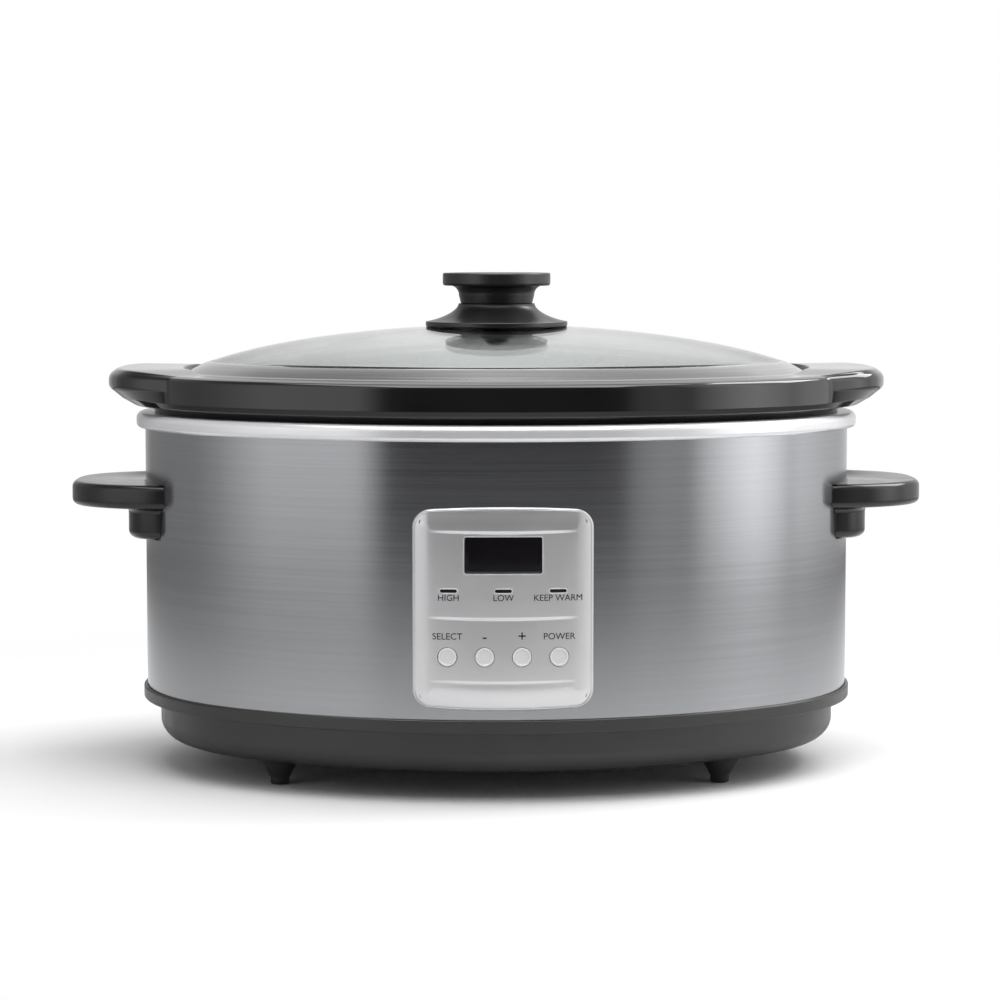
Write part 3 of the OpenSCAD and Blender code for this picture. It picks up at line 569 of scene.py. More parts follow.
# %% [markdown]
# ## Side handles
# Each handle is one moulding: a ledge to hold and a block behind it that is screwed to the wall.
# A column of the grid is one place along the handle. It runs from the wall over the ledge, round
# its rounded nose, back under it, down the block, and home to the wall. The ledge's outline is a
# squircle, |x/a|^2.8 + |y/b|^2.8 = 1, cut where it meets the housing.

# %% Side handles
handle_low, handle_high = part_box("side_handle_right")
ledge_half = handle_high[1]
ledge_thickness = 12 * MM
ledge_start = 3 * unit + 50 * MM
ledge_power, block_power = 2.8, 6
block_out, block_inset = 6.9 * MM, 7 * MM


def wall_x(y):
    """X of the housing's outer face at the end arc, with the assembly gap."""
    return 3 * unit + np.sqrt((end_radius + 0.1 * MM) ** 2 - y ** 2)


def ledge_x(y, inset):
    """X of the ledge's outline at y, drawn in by inset."""
    a, b = handle_high[0] - inset - ledge_start, ledge_half - inset
    return ledge_start + a * np.clip(1 - np.abs(y / b) ** ledge_power, 0, 1) ** (1 / ledge_power)


def block_x(y, inset):
    """X of the block's outer face at y, its two upright edges rounded."""
    a, b = half_length + block_out - inset - ledge_start, ledge_half - block_inset - inset
    return ledge_start + a * np.clip(1 - np.abs(y / b) ** block_power, 0, 1) ** (1 / block_power)


def meeting_y(outline, inset):
    """The y at which an outline meets the wall, by halving the interval."""
    low, high = 0.03, ledge_half
    for _ in range(50):
        middle = (low + high) / 2
        low, high = (middle, high) if outline(middle, inset) > wall_x(middle) else (low, middle)
    return low


def side_handle(side, columns=97):
    """The grid of one handle, mirrored for the left side."""
    top, low = handle_high[2], handle_low[2]
    share = np.sin(np.linspace(-np.pi / 2, np.pi / 2, columns))
    rows = []

    def add_row(outline, inset, z):
        y = meeting_y(outline, inset) * share
        rows.append((outline(y, inset), y, np.full(columns, z)))

    def add_wall(outline, z):
        y = meeting_y(outline, 0) * share
        rows.append((wall_x(y), y, np.full(columns, z)))

    bend = np.radians(np.linspace(0, 90, 7))
    nose, foot, neck = 3.2 * MM, 4 * MM, 2.5 * MM
    under = top - ledge_thickness
    add_wall(ledge_x, top)
    for a in bend:
        add_row(ledge_x, nose * (1 - np.sin(a)), top - nose * (1 - np.cos(a)))
    for a in bend:
        add_row(ledge_x, nose * (1 - np.cos(a)), under + nose * (1 - np.sin(a)))
    for a in bend:
        add_row(block_x, -neck * (1 - np.sin(a)), under - neck * (1 - np.cos(a)))
    for a in bend:
        add_row(block_x, foot * (1 - np.cos(a)), low + foot * (1 - np.sin(a)))
    add_wall(block_x, low)
    x, y, z = (np.array(v) for v in zip(*rows))
    count = len(rows)
    faces = grid_faces(count, columns, True, False).tolist()
    faces += [[r * columns for r in range(count)], [r * columns + columns - 1 for r in range(count)]]
    points = np.stack([side * x, y, z], -1)
    return weighted(mesh_object("handle_right" if side > 0 else "handle_left", points, faces))


place(side_handle(1), "heating_base", "handle_plastic", handle_black, "side_handle_right")
place(side_handle(-1), "heating_base", "handle_plastic", handle_black, "side_handle_left")

# %% [markdown]
# ## Crock
# Stoneware is cast in a mould and glazed, so every edge is soft. One profile runs down the inside,
# over the floor, and up the outside. Near the two ends the band swells into a lug: each point of
# the band has a second place on the lug's profile, and a smooth weight round the oval slides it
# from one to the other.

# %% Crock
crock_low, crock_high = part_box("crock")
lug_out = crock_high[0] - half_length
lug_top = crock_high[2]
rim_top = lug_top - 2.4 * MM
well_flange = ring_high[2]
lug_half, lug_depth, lug_power = 62 * MM, 45 * MM, 2.4


def smooth_step(v, low, high):
    """0 below low, 1 above high, eased between."""
    s = np.clip((v - low) / (high - low), 0, 1)
    return s * s * (3 - 2 * s)


def lug_reach(turn):
    """How far the lug stands out past the housing line.

    The outline is a squircle |x|^2.4 + |y|^2.4 = 1, blended softly into the band.
    """
    side = np.abs(oval_point(0, turn)[1]) / lug_half
    middle = crock_high[0] - lug_depth
    tip = middle + lug_depth * np.clip(1 - side ** lug_power, 0, 1) ** (1 / lug_power)
    out = tip - np.abs(oval_point(0, turn)[0])
    band = 1.8 * MM
    soft = 8 * MM
    return band + soft * np.logaddexp(0, (out - band) / soft - 0.4) * smooth_step(1.2 - side, 0, 0.6)


def lug_weight(turn):
    """0 on the band to 1 at the lug's tip, by how far the lug stands out there."""
    reach = lug_reach(turn)
    return np.clip((reach - reach.min()) / (reach.max() - reach.min()), 0, 1)


def crock_profiles():
    """The profile through the wall, and the same profile through a lug."""
    seat = rim_top - 2 * MM
    inner = [(-70, crock_low[2] / MM + 8, 0), (-37.5, crock_low[2] / MM + 8, 15), (-25.5, seat / MM, 0.8),
             (-19.2, seat / MM, 0.4)]
    flange, floor = well_flange / MM, crock_low[2] / MM
    outer = [(-15, flange, 1.5), (-29, floor, 13), (-70, floor, 0)]
    rim, band = rim_top / MM, flange + 3.4
    plain = [(-19.2, rim, 1.2), (-3, rim - 0.1, 4), (1.8, rim - 1.2, 2.6), (1.8, band + 9, 1),
        (1.7, band + 3, 3),
             (1.3, band, 0.9), (-3.4, band, 0.6), (-5, flange, 0.3)]
    tip, top = lug_out / MM, lug_top / MM
    lug = [(-19.2, top, 1.2), (tip - 4.5, top, 5), (tip, top - 3.4, 5), (tip, band + 9.5, 4),
        (tip - 6.5, band + 4.2, 6),
           (tip - 13, band + 0.4, 4), (-3.4, band, 0.6), (-5, flange, 0.3)]
    return [rounded(np.array(inner + middle + outer) * MM, closed=False, steps=8) for middle in (plain,
        lug)]


def crock_piece():
    """The two profiles blended by the lug's weight, carried round the oval, with a pole on each side."""
    plain, lug = crock_profiles()
    turn = oval_turn(160, 80)
    weight = lug_weight(turn)[None, :]
    offset = plain[:, :1] * (1 - weight) + lug[:, :1] * weight
    z = plain[:, 1:] * (1 - weight) + lug[:, 1:] * weight
    x, y = oval_point(offset, turn[None, :])
    inside, outside = np.zeros_like(x[:1]), np.zeros_like(x[:1])
    x, y = (np.concatenate([inside, v, outside]) for v in (x, y))
    z = np.concatenate([z[:1], z, z[-1:]])
    return weighted(grid_object("stoneware_crock", x, y, z, close_rows=False))


place(crock_piece(), "crock", "stoneware", glaze, "crock")

# %% [markdown]
# ## Lid
# The glass is a shallow dome whose slope grows towards its edge. Its drop is a square of the
# distance from the middle plus a high power of it, both scaled to 1 at the oval edge. The steel
# band is rolled over that edge: a shoulder that slopes down to a small bead, and a seat below.

# %% Lid glass
glass_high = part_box("lid_glass")[1]
band_low, band_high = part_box("lid_band")
glass_in = glass_high[0] - half_length
band_out = band_high[0] - half_length
dome_top = glass_high[2]
glass_edge = band_high[2] - 1.7 * MM
glass_thick = 4.5 * MM


def dome_z(x, y):
    """Top minus 0.85 of the rise times q, minus 0.15 of it times q^3.5; q is 1 at the edge."""
    q = (x / (half_length + glass_in)) ** 2 + (y / (half_depth + glass_in)) ** 2
    rise = dome_top - glass_edge
    return dome_top - rise * (0.85 * q + 0.15 * q ** 3.5)


def lid_glass_piece():
    """Rings from the hole to the edge on top, and back underneath, with ground edges."""
    turn = oval_turn(48, 64)[None, :]
    out = np.concatenate([[0], np.linspace(0.01, 0.985, 34), [0.994, 0.998, 1.0]])[:, None]
    hole = 3 * MM

    def ring(share, inset):
        x, y = oval_point(glass_in - inset, turn)
        return (1 - share) * hole * np.cos(turn) + share * x, (1 - share) * hole * np.sin(turn) + share * y

    xt, yt = ring(out, 0)
    xb, yb = ring(out[::-1], 0.3 * MM)
    x, y = np.concatenate([xt, xb]), np.concatenate([yt, yb])
    z = np.concatenate([dome_z(xt, yt), dome_z(xb, yb) - glass_thick])
    return weighted(grid_object("glass_dome", x, y, z))


place(lid_glass_piece(), "lid", "lid_glass", glass, "lid_glass")

# %% Lid band
def lid_band_piece():
    """Lip over the glass, a shoulder that drops as the 1.2th power of the way out, a bead, and the seat."""
    low, edge = band_low[2], band_out
    seat = glass_edge - 1.07 * glass_thick
    crest = glass_edge + 0.6 * MM
    start, end, foot = glass_in - 1 * MM, edge - 2.1 * MM, low + 2 * MM
    shoulder = [(start + (end - start) * t, crest - 0.1 * MM - (crest - 0.1 * MM - foot) * t ** 1.2, 0)
                for t in np.linspace(0, 1, 14)]
    section = rounded([
        (glass_in - 2.6 * MM, crest - 0.3 * MM, 0.05 * MM), (glass_in - 2.6 * MM, crest, 0.2 * MM),
            *shoulder,
        (edge - 1.5 * MM, low + 1.9 * MM, 0.3 * MM), (edge, low + 1.7 * MM, 0.8 * MM),
            (edge, low, 0.8 * MM),
        (glass_in - 4.5 * MM, low, 0.4 * MM), (glass_in - 4.5 * MM, seat - 0.6 * MM, 0.2 * MM),
        (glass_in + 0.2 * MM, seat - 0.2 * MM, 0.2 * MM),
            (glass_in + 0.2 * MM, glass_edge + 0.2 * MM, 0.2 * MM),
    ], steps=7)
    return carry("polished_lid_band", section, oval_turn(60, 80))


place(lid_band_piece(), "lid", "bright_band", band_steel, "lid_band")

# %% [markdown]
# ## Knob
# The knob is two phenolic mouldings: a flared base that sits on the glass over a silicone gasket,
# and the grip, a disc on a waisted neck. Both are turned profiles built on quarter ellipses, and
# the flare is eased part of the way towards a cone.

# %% Knob
knob_low, knob_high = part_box("knob")
knob_base_low, knob_base_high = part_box("knob_base")
neck = 19.2 * MM


def quarter_curve(x0, z0, x1, z1, steps=16, flip=False):
    """Quarter ellipse from (x0, z0) to (x1, z1), leaving upright, or level if flip is set."""
    a = np.linspace(0, np.pi / 2, steps)
    u, v = (np.sin(a), 1 - np.cos(a)) if flip else (1 - np.cos(a), np.sin(a))
    return np.column_stack([x0 + (x1 - x0) * u, z0 + (z1 - z0) * v])


def knob_piece():
    """Step ring, neck, cove under the disc, rounded disc, and a faintly domed top."""
    low, high = knob_low[2], knob_high[2]
    radius, under = knob_high[0], knob_high[2] - 6.6 * MM
    step, cove_out = low + 4.1 * MM, neck + 4.6 * MM
    cove = quarter_curve(neck, step, cove_out, under)
    base = rounded(np.array([(0, low, 0), (neck - 1 * MM, low, 0.2 * MM), (neck, step, 0)]), closed=False)
    disc = rounded(np.array([(cove_out, under, 0), (radius - 0.4 * MM, under, 0.8 * MM),
                             (radius, under + 1.2 * MM, 0.6 * MM), (radius, high - 0.2 * MM, 0.8 * MM),
                             (radius - 5 * MM, high - 0.05 * MM, 1 * MM), (0, high, 0)]), closed=False,
                                 steps=8)
    return turned("knob_grip", np.concatenate([base[:-1], cove, disc[1:]]), steps=128, close_rows=False)


def knob_base_piece():
    """Flange with an upright rim, a flare of 0.65 quarter ellipse and 0.35 cone, and a hollow underside."""
    low, high, radius = knob_base_low[2], knob_base_high[2], knob_base_high[0]
    seat = dome_top + 1 * MM
    start, start_z = radius - 1.4 * MM, low + 2.8 * MM
    flare = quarter_curve(start, start_z, neck + 0.2 * MM, high, steps=22, flip=True)
    cone = start_z + (high - start_z) * (start - flare[:, 0]) / (start - flare[-1, 0])
    flare[:, 1] = 0.65 * flare[:, 1] + 0.35 * cone
    under = rounded(np.array([(3 * MM, high, 0), (3 * MM, seat, 0.1 * MM), (13 * MM, seat, 0.3 * MM),
                              (radius - 3 * MM, low + 0.3 * MM, 0.3 * MM),
                                  (radius - 0.5 * MM, low, 0.3 * MM),
                              (radius, low + 0.5 * MM, 0.3 * MM), (radius, low + 2.6 * MM, 0.5 * MM),
                              (start, start_z, 0)]), closed=False)
    return turned("knob_flare", np.concatenate([under, flare[1:]]), steps=128)


def knob_screw_piece():
    """A shank, and under the glass a domed head: a quarter ellipse 1.68 mm deep, below a flat."""
    (_, _, low), (radius, _, high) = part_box("knob_screw")
    a = np.radians(np.linspace(0, 90, 12))
    head = np.column_stack([radius * np.sin(a), low + 2.1 * MM * (1 - 0.8 * np.cos(a)) - 0.42 * MM])
    shank = [(radius - 0.3 * MM, low + 2.1 * MM), (2.5 * MM, low + 2.1 * MM), (2.5 * MM, high), (0, high)]
    return turned("knob_screw_head", np.concatenate([head, shank]), steps=48, close_rows=False)


place(knob_piece(), "lid", "knob_plastic", knob_black, "knob")
place(knob_base_piece(), "lid", "knob_plastic", knob_black, "knob_base")
place(knob_screw_piece(), "lid", "dark_screw", screw_black, "knob_screw")

# %% [markdown]
# ## Control panel
# The bezel is a pillowed silver plate with a fine bead round its edge, and shallow scoops
# that part it into four zones, each with a smiling step at its top. It is a height above the
# housing's front, worked out on a grid whose rows follow the arched outline, and the openings are
# cut through it afterwards.

# %% Panel heights
bezel_low, bezel_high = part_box("panel_bezel")
panel_half = bezel_high[0]
panel_low, panel_top = bezel_low[2], bezel_high[2]
panel_mid = (panel_low + panel_top) / 2
panel_corner, panel_arch = 8.2 * MM, 1.6 * MM
panel_tall = (panel_top - panel_low) / 2 - panel_arch
panel_out = 3.8 * MM
button_z = panel_low + 25.5 * MM
slot_z = panel_low + 56.6 * MM
window_z = panel_low + 73.3 * MM
scoop_edges = np.array([panel_low + 2.2 * MM, panel_low + 14.2 * MM, panel_low + 44.2 * MM,
                        panel_low + 84.8 * MM, panel_top - 2.2 * MM])


def front_y(height, x):
    """Y of the front wall set out by height, at x."""
    return 4 * unit - np.sqrt((side_radius + height) ** 2 - x ** 2)


def edge_distance(x, z):
    """How far a place on the panel lies inside its rounded, arched outline."""
    up = np.abs(z - panel_mid) - panel_arch * (1 - (x / panel_half) ** 2)
    dx = np.abs(x) - (panel_half - panel_corner)
    dz = up - (panel_tall - panel_corner)
    outside = np.hypot(np.maximum(dx, 0), np.maximum(dz, 0))
    return panel_corner - outside - np.minimum(np.maximum(dx, dz), 0)


def panel_height(x, z):
    """A pillow that falls away as the square near the edge, a bead, and scoops that fade to the sides."""
    inside = edge_distance(x, z)
    pillow = 2.1 * MM * np.clip(1 - inside / (11 * MM), 0, 1) ** 2
    bead = 0.4 * MM * (smooth_step(inside, 0, 0.4 * MM) - smooth_step(inside, 0.7 * MM, 1.3 * MM))
    smile = 1.1 * MM * (x / panel_half) ** 2
    width = np.clip(1 - (x / (panel_half - 7 * MM)) ** 2, 0, 1)
    scoop = np.zeros(np.broadcast(x, z).shape)
    for low, high, deep in zip(scoop_edges[:-1], scoop_edges[1:], (0.45, 1, 1, 0.5)):
        level = z - smile
        share = np.clip((level - low) / (high - low), 0, 1)
        within = (level >= low) & (level < high)
        depth = deep * smooth_step(high - level, 0, 1.7 * MM) * share ** 1.5
        scoop = np.where(within, depth, scoop)
    return panel_out - 0.4 * MM + bead - pillow - 0.8 * MM * scoop * width


print("panel spans", round(2 * panel_half, 4), "by", round(panel_top - panel_low, 4))

# %% Bezel
def panel_rows():
    """Heights of the grid's rows, closer together at the edges and at the scoops' steps."""
    spread = np.linspace(panel_low, panel_top, 150)
    ends = np.linspace(0, 3 * MM, 16)
    steps = [edge + np.linspace(-1.4, 1.6, 16) * MM for edge in scoop_edges[1:-1]]
    return np.unique(np.round(np.concatenate([spread, panel_low + ends, panel_top - ends, *steps]), 6))


def bezel_plate():
    """Front and back grids on the same outline, joined round the edge."""
    z_even = panel_rows()
    level = (z_even - panel_mid) / (panel_top - panel_mid)
    u = np.sin(np.linspace(-np.pi / 2, np.pi / 2, 121))
    u = np.sign(u) * np.abs(u) ** 0.8
    tall = np.abs(level) * panel_tall
    over = np.clip(tall - (panel_tall - panel_corner), 0, panel_corner)
    half = panel_half - panel_corner + np.sqrt(panel_corner ** 2 - over ** 2)
    x = u[None, :] * half[:, None]
    z = panel_mid + level[:, None] * (panel_tall + panel_arch * (1 - (x / panel_half) ** 2))
    front = front_y(panel_height(x, z), x)
    back = front_y(0.12 * MM + 0 * x, x)
    rows, columns = x.shape
    points = np.concatenate([np.stack([x, front, z], -1), np.stack([x, back, z], -1)])
    sheet_faces = grid_faces(rows, columns, False, False)
    edge = np.concatenate([np.arange(columns), np.arange(1, rows) * columns + columns - 1,
                           (rows - 1) * columns + np.arange(columns - 2, -1, -1),
                               np.arange(rows - 2, 0, -1) * columns])
    turn = np.roll(edge, -1)
    behind = rows * columns
    rim = np.stack([edge, turn, turn + behind, edge + behind], -1)
    return mesh_object("panel_bezel_plate", points,
        np.concatenate([sheet_faces, sheet_faces[:, ::-1] + behind, rim]))


def along_y(name, profile, x, z, steps=64):
    """A profile of (radius, y) points turned about an axis along Y through (x, z)."""
    turn = circle_turn(steps)[None, :]
    return grid_object(name, x + profile[:, :1] * np.cos(turn), profile[:, 1:2],
        z + profile[:, :1] * np.sin(turn), False)


def outline(width, height, corner, inset=0.0, along=24):
    """X and z round a rectangle with round corners, drawn in by inset, with points along its level edges."""
    a = np.radians(np.linspace(0, 90, 7))
    qx = width / 2 - corner + (corner - inset) * np.cos(a)
    qz = height / 2 - corner + (corner - inset) * np.sin(a)
    edge_x, edge_z = np.linspace(qx[-1], -qx[-1], along + 2)[1:-1], np.full(along, qz[-1])
    px = np.concatenate([qx, edge_x, -qx[::-1], -qx, -edge_x, qx[::-1]])
    pz = np.concatenate([qz, edge_z, qz[::-1], -qz, -edge_z, -qz[::-1]])
    return np.stack([px, pz])


def slab(name, x, z, width, height, corner, y_front, y_back):
    """A prism along Y whose outline is a rectangle with round corners."""
    px, pz = outline(width, height, corner)
    scale = np.array([0, 1, 1, 0])[:, None]
    y = np.array([y_front, y_front, y_back, y_back])[:, None] + 0 * px[None, :]
    return grid_object(name, x + px[None, :] * scale, y, z + pz[None, :] * scale, False)


def cut(piece, cutters):
    """Takes the cutters out of the piece with exact booleans, then removes them."""
    for cutter in cutters:
        modifier = piece.modifiers.new("cut", "BOOLEAN")
        modifier.operation, modifier.object, modifier.solver = "DIFFERENCE", cutter, "EXACT"
    graph = bpy.context.evaluated_depsgraph_get()
    mesh = bpy.data.meshes.new_from_object(piece.evaluated_get(graph))
    piece.modifiers.clear()
    piece.data = mesh
    for cutter in cutters:
        bpy.data.objects.remove(cutter)
    return piece


button_nodes = ["select_button", "minus_button", "plus_button", "power_button"]
button_boxes = [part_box(n) for n in button_nodes]
button_xs = [(low[0] + high[0]) / 2 for low, high in button_boxes]
button_radius, button_gap = 4.4 * MM, 0.3 * MM
slot_pitch = 25.7 * MM
slot_xs = [-slot_pitch, 0, slot_pitch]
window_low, window_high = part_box("display_window")
window_width, window_height = window_high[0] - window_low[0], window_high[2] - window_low[2]


def bezel_piece():
    """The plate with its window, its three light slots and its four button holes."""
    plate = bezel_plate()
    far, near = -half_depth - 0.02, -half_depth + 0.02
    cutters = [slab("window cut", 0, window_z, window_width + 0.2 * MM, window_height + 0.2 * MM,
        0.8 * MM, far, near)]
    cutters += [slab("slot cut", x, slot_z, 8 * MM, 1.6 * MM, 0.79 * MM, far, near) for x in slot_xs]
    hole = button_radius + button_gap
    cutters += [along_y("hole cut", np.array([(0, far), (hole, far), (hole, near), (0, near)]), x, button_z)
                for x in button_xs]
    plate = cut(plate, cutters)
    plate.data.polygons.foreach_set("use_smooth", np.ones(len(plate.data.polygons), bool))
    plate.data.set_sharp_from_angle(angle=np.radians(35))
    return weighted(plate)


place(bezel_piece(), "heating_base", "panel_plastic", silver_paint, "panel_bezel")

# %% [markdown]
# Behind the openings sit a smoked window and three smoked lenses. The window is a slab whose front
# follows the panel's curve and whose edges are broken, so that it catches a thin line of light.

# %% Window and lenses
def front_slab(name, x, z, width, height, corner, depth, recess, edge):
    """A slab with round corners and a broken front edge; its front lies recess under panel_out."""
    rows = []
    layers = [(scale, edge, 0) for scale in np.linspace(0, 1, 10)]
    layers += [(1, 0.3 * edge, 0.3 * edge), (1, 0, edge), (1, 0, depth), (0, 0, depth)]
    for scale, inset, sink in layers:
        px, pz = scale * outline(width, height, corner, inset)
        rows.append((x + px, front_y(panel_out - recess - sink + 0 * px, x + px), z + pz))
    gx, gy, gz = (np.array(v) for v in zip(*rows))
    slab_piece = grid_object(name, gx, gy, gz, False)
    slab_piece.data.set_sharp_from_angle(angle=np.radians(30))
    return slab_piece


smoked = front_slab("smoked_window", 0, window_z, window_width, window_height, 0.8 * MM, 1.8 * MM,
    0.8 * MM, 0.2 * MM)
place(smoked, "heating_base", "window_plastic", window_black, "display_window")
for number, x in enumerate(slot_xs):
    lens = front_slab(f"smoked_lens_{number + 1}", x, slot_z, 7.8 * MM, 1.4 * MM, 0.69 * MM, 2.5 * MM,
        0.75 * MM, 0.12 * MM)
    place(lens, "heating_base", "lens_plastic", window_black,
        *(["indicator_lenses"] if number == 0 else []))

# %% Opening rims
def opening_rim(name, x, z, width, height, corner):
    """A low half-round bead on the panel's own surface, just outside an opening."""
    section = [(0.1, -0.5), (0.1, 0.05), (0.22, 0.14), (0.38, 0.14), (0.5, 0.04), (0.5, -0.5)]
    rows = []
    for out, height_over in section:
        px, pz = outline(width, height, corner, -out * MM)
        rows.append((x + px, front_y(panel_height(x + px, z + pz) + height_over * MM, x + px), z + pz))
    gx, gy, gz = (np.array(v) for v in zip(*rows))
    return grid_object(name, gx, gy, gz)


rims = [opening_rim("window_rim", 0, window_z, window_width, window_height, 0.8 * MM)]
rims += [opening_rim(f"slot_rim_{n + 1}", x, slot_z, 8 * MM, 1.6 * MM, 0.79 * MM) for n,
    x in enumerate(slot_xs)]
# The beads are real raised rims of the panel. Their finish is the brighter, less metallic button silver
# rather than the panel's own paint, a painted highlight that makes them read as thin white lines round the
# openings.
for rim in rims:
    place(rim, "heating_base", "panel_plastic", button_silver)

# %% [markdown]
# ## Buttons
# Each button is a silver cap with a rounded edge and a slightly hollow face for the fingertip,
# a flange that keeps it behind the panel, and a stem that ends on its switch.

# %% Buttons
for name, x, (low, high) in zip(button_nodes, button_xs, button_boxes):
    face = low[1]
    flange = front_y(0.1 * MM, abs(x) + button_radius + 1.1 * MM) + 0.15 * MM
    section = rounded(np.array([
        (0, face + 0.4 * MM, 0), (button_radius - 1.1 * MM, face + 0.36 * MM, 0.3 * MM),
        (button_radius - 0.8 * MM, face, 0.3 * MM), (button_radius, face, 0.5 * MM),
        (button_radius, flange, 0.1 * MM), (button_radius + 1.1 * MM, flange, 0.1 * MM),
        (button_radius + 1.1 * MM, flange + 1.2 * MM, 0.1 * MM), (2.2 * MM, flange + 1.2 * MM, 0.1 * MM),
        (2.2 * MM, high[1], 0.1 * MM), (0, high[1], 0)]), closed=False)
    cap = weighted(along_y(name + "_cap", section, x, button_z))
    place(cap, name.replace("_button", "_key"), "button_plastic", button_silver, name)

# %% [markdown]
# ## Lettering
# The panel carries only generic words. A text object is turned into a mesh while it is flat, and
# its points are then laid on the panel's own height, a tenth of a millimetre proud at most.

# %% Lettering
def label(name, words, x, z, cap_height, spread=1.0):
    """Words centred on (x, z) on the panel, cut fine enough to follow it, with capitals cap_height tall."""
    text = bpy.data.curves.new(name, "FONT")
    text.body, text.align_x, text.align_y, text.space_character = words, "CENTER", "CENTER", spread
    capital_share = 0.69
    text.size = cap_height / capital_share
    text.resolution_u = 4
    holder = bpy.data.objects.new(name, text)
    bpy.context.collection.objects.link(holder)
    bpy.context.view_layer.update()
    mesh = bpy.data.meshes.new_from_object(holder.evaluated_get(bpy.context.evaluated_depsgraph_get()))
    bpy.data.objects.remove(holder)
    fine = bmesh.new()
    fine.from_mesh(mesh)
    bmesh.ops.triangulate(fine, faces=fine.faces)
    bmesh.ops.subdivide_edges(fine, edges=fine.edges, cuts=3, use_grid_fill=True)
    fine.to_mesh(mesh)
    fine.free()
    flat = np.empty(len(mesh.vertices) * 3)
    mesh.vertices.foreach_get("co", flat)
    flat = flat.reshape(-1, 3)
    px, pz = x + flat[:, 0], z + flat[:, 1]
    skin = np.stack([px, front_y(panel_height(px, pz) + 0.05 * MM, px), pz], -1)
    mesh.vertices.foreach_set("co", skin.ravel())
    mesh.update()
    piece = bpy.data.objects.new(name, mesh)
    bpy.context.collection.objects.link(piece)
    thick = piece.modifiers.new("ink", "SOLIDIFY")
    thick.thickness, thick.offset = 0.09 * MM, 0
    place(piece, "heating_base", "plunger_plastic", label_ink)


upper = [("label_high", "HIGH", -slot_pitch), ("label_low", "LOW", 0),
    ("label_warm", "KEEP WARM", slot_pitch)]
for name, words, x in upper:
    label(name, words, x, panel_low + 53.3 * MM, 2.9 * MM)
lower = [("label_select", "SELECT", 0), ("label_minus", "-", 1), ("label_plus", "+", 2),
    ("label_power", "POWER", 3)]
for name, words, i in lower:
    label(name, words, button_xs[i], panel_low + 35.1 * MM, 3.0 * MM if len(words) > 1 else 5.0 * MM)

# %% [markdown]
# ## Inside pieces
# What the crock and the lid reveal when they are lifted, and what the shells hide, keeps its exact
# CAD shape and only gets its finish.

# %% Inside pieces
inside = {
    liner_steel: ["inner_liner"], mica_tan: ["heater_band"], brass: ["knob_insert"],
    zinc_plate: ["tie_stud", "tie_nut", "handle_screws", "panel_screws", "control_board_screws",
        "power_board_screws",
                 "temperature_sensor", "sensor_clip", "thermal_fuse", "fuse_clip", "knob_washer"],
    base_black: ["cord_gland", "gland_nut", "display_module", "tactile_switches", "select_plunger",
        "minus_plunger",
                 "plus_plunger", "power_plunger"],
    lens_white: ["indicator_leds"], board_green: ["control_board", "power_board"],
    part_blue: ["relay", "filter_capacitor"], tape_yellow: ["transformer"],
        terminal_green: ["terminal_block"],
    sleeve_white: ["heater_leads", "ribbon_cable"], pad_rubber: ["knob_gasket"],
}
for finish, names in inside.items():
    for name in names:
        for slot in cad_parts[name].material_slots:
            slot.material = finish
print("finished", sum(len(v) for v in inside.values()), "inside pieces")

# %% [markdown]
# ## Stage
# A plain pale floor that fades into a white surround, and studio lights: tall light panels to the
# left and right, whose reflections draw the housing, and large soft lights overhead and in front.
# Nothing but dark room lies behind the camera, and the middle of the housing mirrors that.

# %% Floor
def studio_floor():
    """A wide disc. Seen directly it fades to white with distance; in reflections it fades to dark, a shade
    painted into its base colour.
    """
    turn = circle_turn(96)[None, :]
    radius = np.array([0, 0.3, 0.6, 0.9, 1.2])[:, None]
    floor = grid_object("floor", radius * np.cos(turn), radius * np.sin(turn), 0 * radius - 0.0001, False)
    for polygon in floor.data.polygons:
        if polygon.normal.z < 0:
            polygon.flip()
    material, tree, shader, at = new_material("floor_paper")
    shader.inputs["Roughness"].default_value = 0.7
    distance = add(tree, "ShaderNodeVectorMath", {0: at}, operation="LENGTH").outputs["Value"]
    far = add(tree, "ShaderNodeMapRange", {"Value": distance}, From_Min=0.2, From_Max=0.6,
        interpolation_type="SMOOTHSTEP")
    # Painted shade: the floor's base colour darkens from 0.94 near the cooker to 0.2 far away, and rays other
    # than camera rays see only 0.72 of it, so the floor goes dark in reflections.
    near = add(tree, "ShaderNodeMapRange", {"Value": distance}, From_Min=0.35, From_Max=1.0, To_Min=0.94,
        To_Max=0.2)
    white = add(tree, "ShaderNodeEmission", Color=(1, 1, 1, 1), Strength=1.0)
    seen = add(tree, "ShaderNodeLightPath")
    share = add(tree, "ShaderNodeMapRange", {"Value": seen.outputs["Is Camera Ray"]}, To_Min=0.72,
        To_Max=1.0)
    tone = add(tree, "ShaderNodeMath", {0: near.outputs["Result"], 1: share.outputs["Result"]},
        operation="MULTIPLY")
    tree.links.new(tone.outputs[0], shader.inputs["Base Color"])
    fade = add(tree, "ShaderNodeMath", {0: far.outputs["Result"], 1: seen.outputs["Is Camera Ray"]},
        operation="MULTIPLY")
    mix = add(tree, "ShaderNodeMixShader", {0: fade.outputs[0], 1: shader.outputs[0], 2: white.outputs[0]})
    tree.links.new(mix.outputs[0], tree.nodes["Material Output"].inputs["Surface"])
    floor.data.materials.append(material)
    return floor


studio_floor()

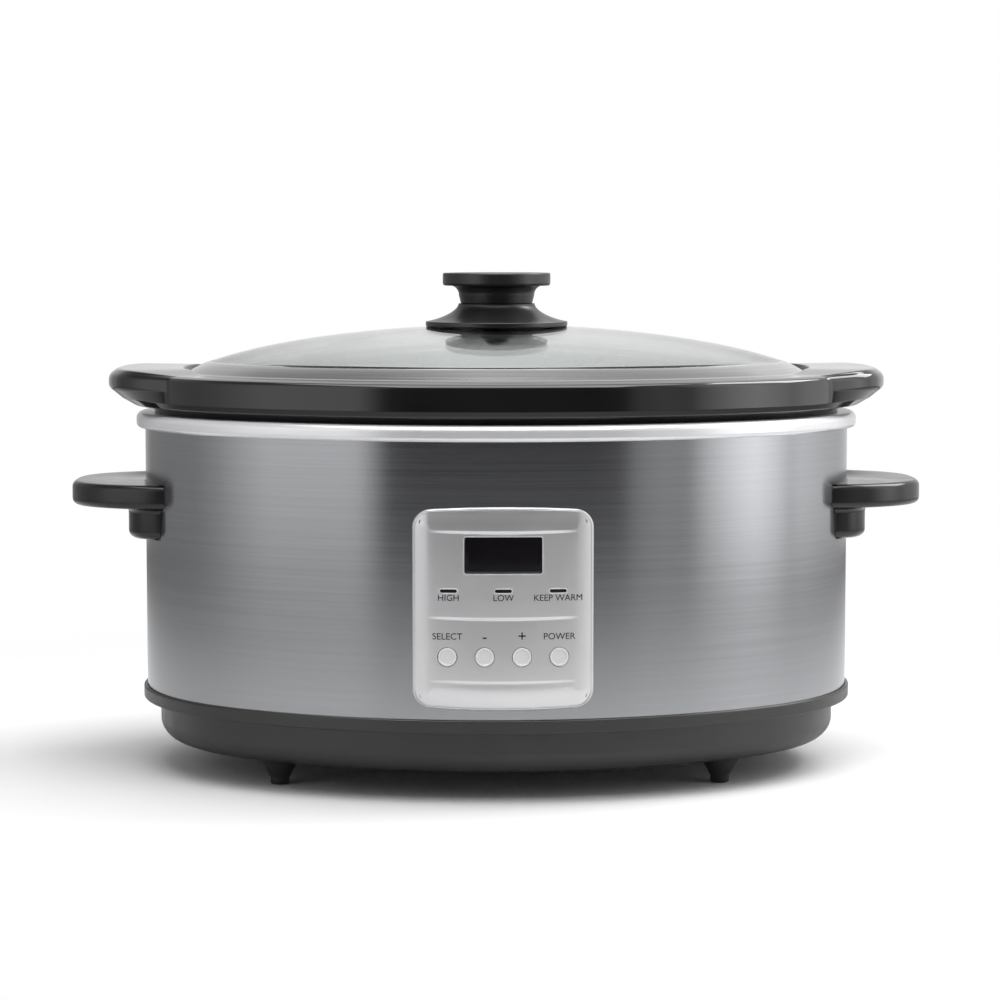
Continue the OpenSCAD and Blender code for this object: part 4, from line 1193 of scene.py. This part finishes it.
# %% Lights
def soft_box(name, azimuth, elevation, distance, width, height, radiance, tint=(1, 1, 1),
    target=(0, 0, 0.11)):
    """An area light aimed at the cooker. Azimuth is counted from the camera's side, to the right."""
    a, e = np.radians(azimuth), np.radians(elevation)
    away = Vector((np.sin(a) * np.cos(e), -np.cos(a) * np.cos(e), np.sin(e)))
    data = bpy.data.lights.new(name, "AREA")
    data.shape, data.size, data.size_y = "RECTANGLE", width, height
    data.energy = radiance * np.pi * width * height
    data.color = tint
    lamp = bpy.data.objects.new(name, data)
    lamp.location = Vector(target) + away * distance
    lamp.rotation_euler = away.to_track_quat("Z", "Y").to_euler()
    lamp.visible_camera = False
    bpy.context.collection.objects.link(lamp)
    return lamp


soft_box("top box", 0, 88, 1.5, 1.6, 1.2, 2.4)
soft_box("front box", 4, 62, 1.7, 1.5, 0.8, 3.0)
soft_box("right back box", 112, 46, 1.6, 0.9, 0.7, 6.0)

# %% World
def studio_surround():
    """White where the camera looks. Everything else sees tall panels of light round the cooker:
    a left one, a brighter right one beside a dim card, and a white wall at the back."""
    world = bpy.data.worlds.new("surround")
    world.use_nodes = True
    tree = world.node_tree
    tree.nodes.clear()
    part = add(tree, "ShaderNodeSeparateXYZ", {0: add(tree, "ShaderNodeTexCoord").outputs["Generated"]})
    front = add(tree, "ShaderNodeMath", {0: part.outputs["Y"]}, operation="MULTIPLY")
    front.inputs[1].default_value = -1
    azimuth = add(tree, "ShaderNodeMath", {0: part.outputs["X"], 1: front.outputs[0]}, operation="ARCTAN2")
    share = add(tree, "ShaderNodeMapRange", {"Value": azimuth.outputs[0]}, From_Min=-np.pi, From_Max=np.pi)
    ramp = add(tree, "ShaderNodeValToRGB", {"Fac": share.outputs["Result"]})
    stops = [(-180, 0.95), (-166, 0.5), (-150, 0.3), (-98, 0.36), (-80, 0.52), (-64, 0.94), (-37, 0.96),
        (-29, 0.07),
             (-20, 0.05), (24, 0.05), (33, 0.08), (37, 0.36), (44, 0.48), (52, 0.42), (57, 0.95),
                 (66, 1.6), (73, 1.9),
             (80, 1.5), (90, 1.05), (100, 1.15), (120, 0.9), (140, 0.7), (160, 0.7), (180, 0.95)]
    while len(ramp.color_ramp.elements) < len(stops):
        ramp.color_ramp.elements.new(1.0)
    for element, (degrees, value) in zip(ramp.color_ramp.elements, stops):
        element.position = (degrees + 180) / 360
        element.color = (value / 2, value / 2, value / 2, 1)
    height = add(tree, "ShaderNodeMapRange", {"Value": part.outputs["Z"]}, From_Min=0.5, From_Max=0.8,
                 To_Min=2.0, To_Max=1.0, interpolation_type="SMOOTHSTEP")
    room = add(tree, "ShaderNodeBackground",
        {"Color": ramp.outputs["Color"], "Strength": height.outputs["Result"]})
    white = add(tree, "ShaderNodeBackground", Color=(1, 1, 1, 1), Strength=1.0)
    seen = add(tree, "ShaderNodeLightPath")
    mix = add(tree, "ShaderNodeMixShader",
        {0: seen.outputs["Is Camera Ray"], 1: room.outputs[0], 2: white.outputs[0]})
    add(tree, "ShaderNodeOutputWorld", {"Surface": mix.outputs[0]})
    bpy.context.scene.world = world


studio_surround()
bpy.context.scene.view_settings.view_transform = "Standard"
print("stage set")
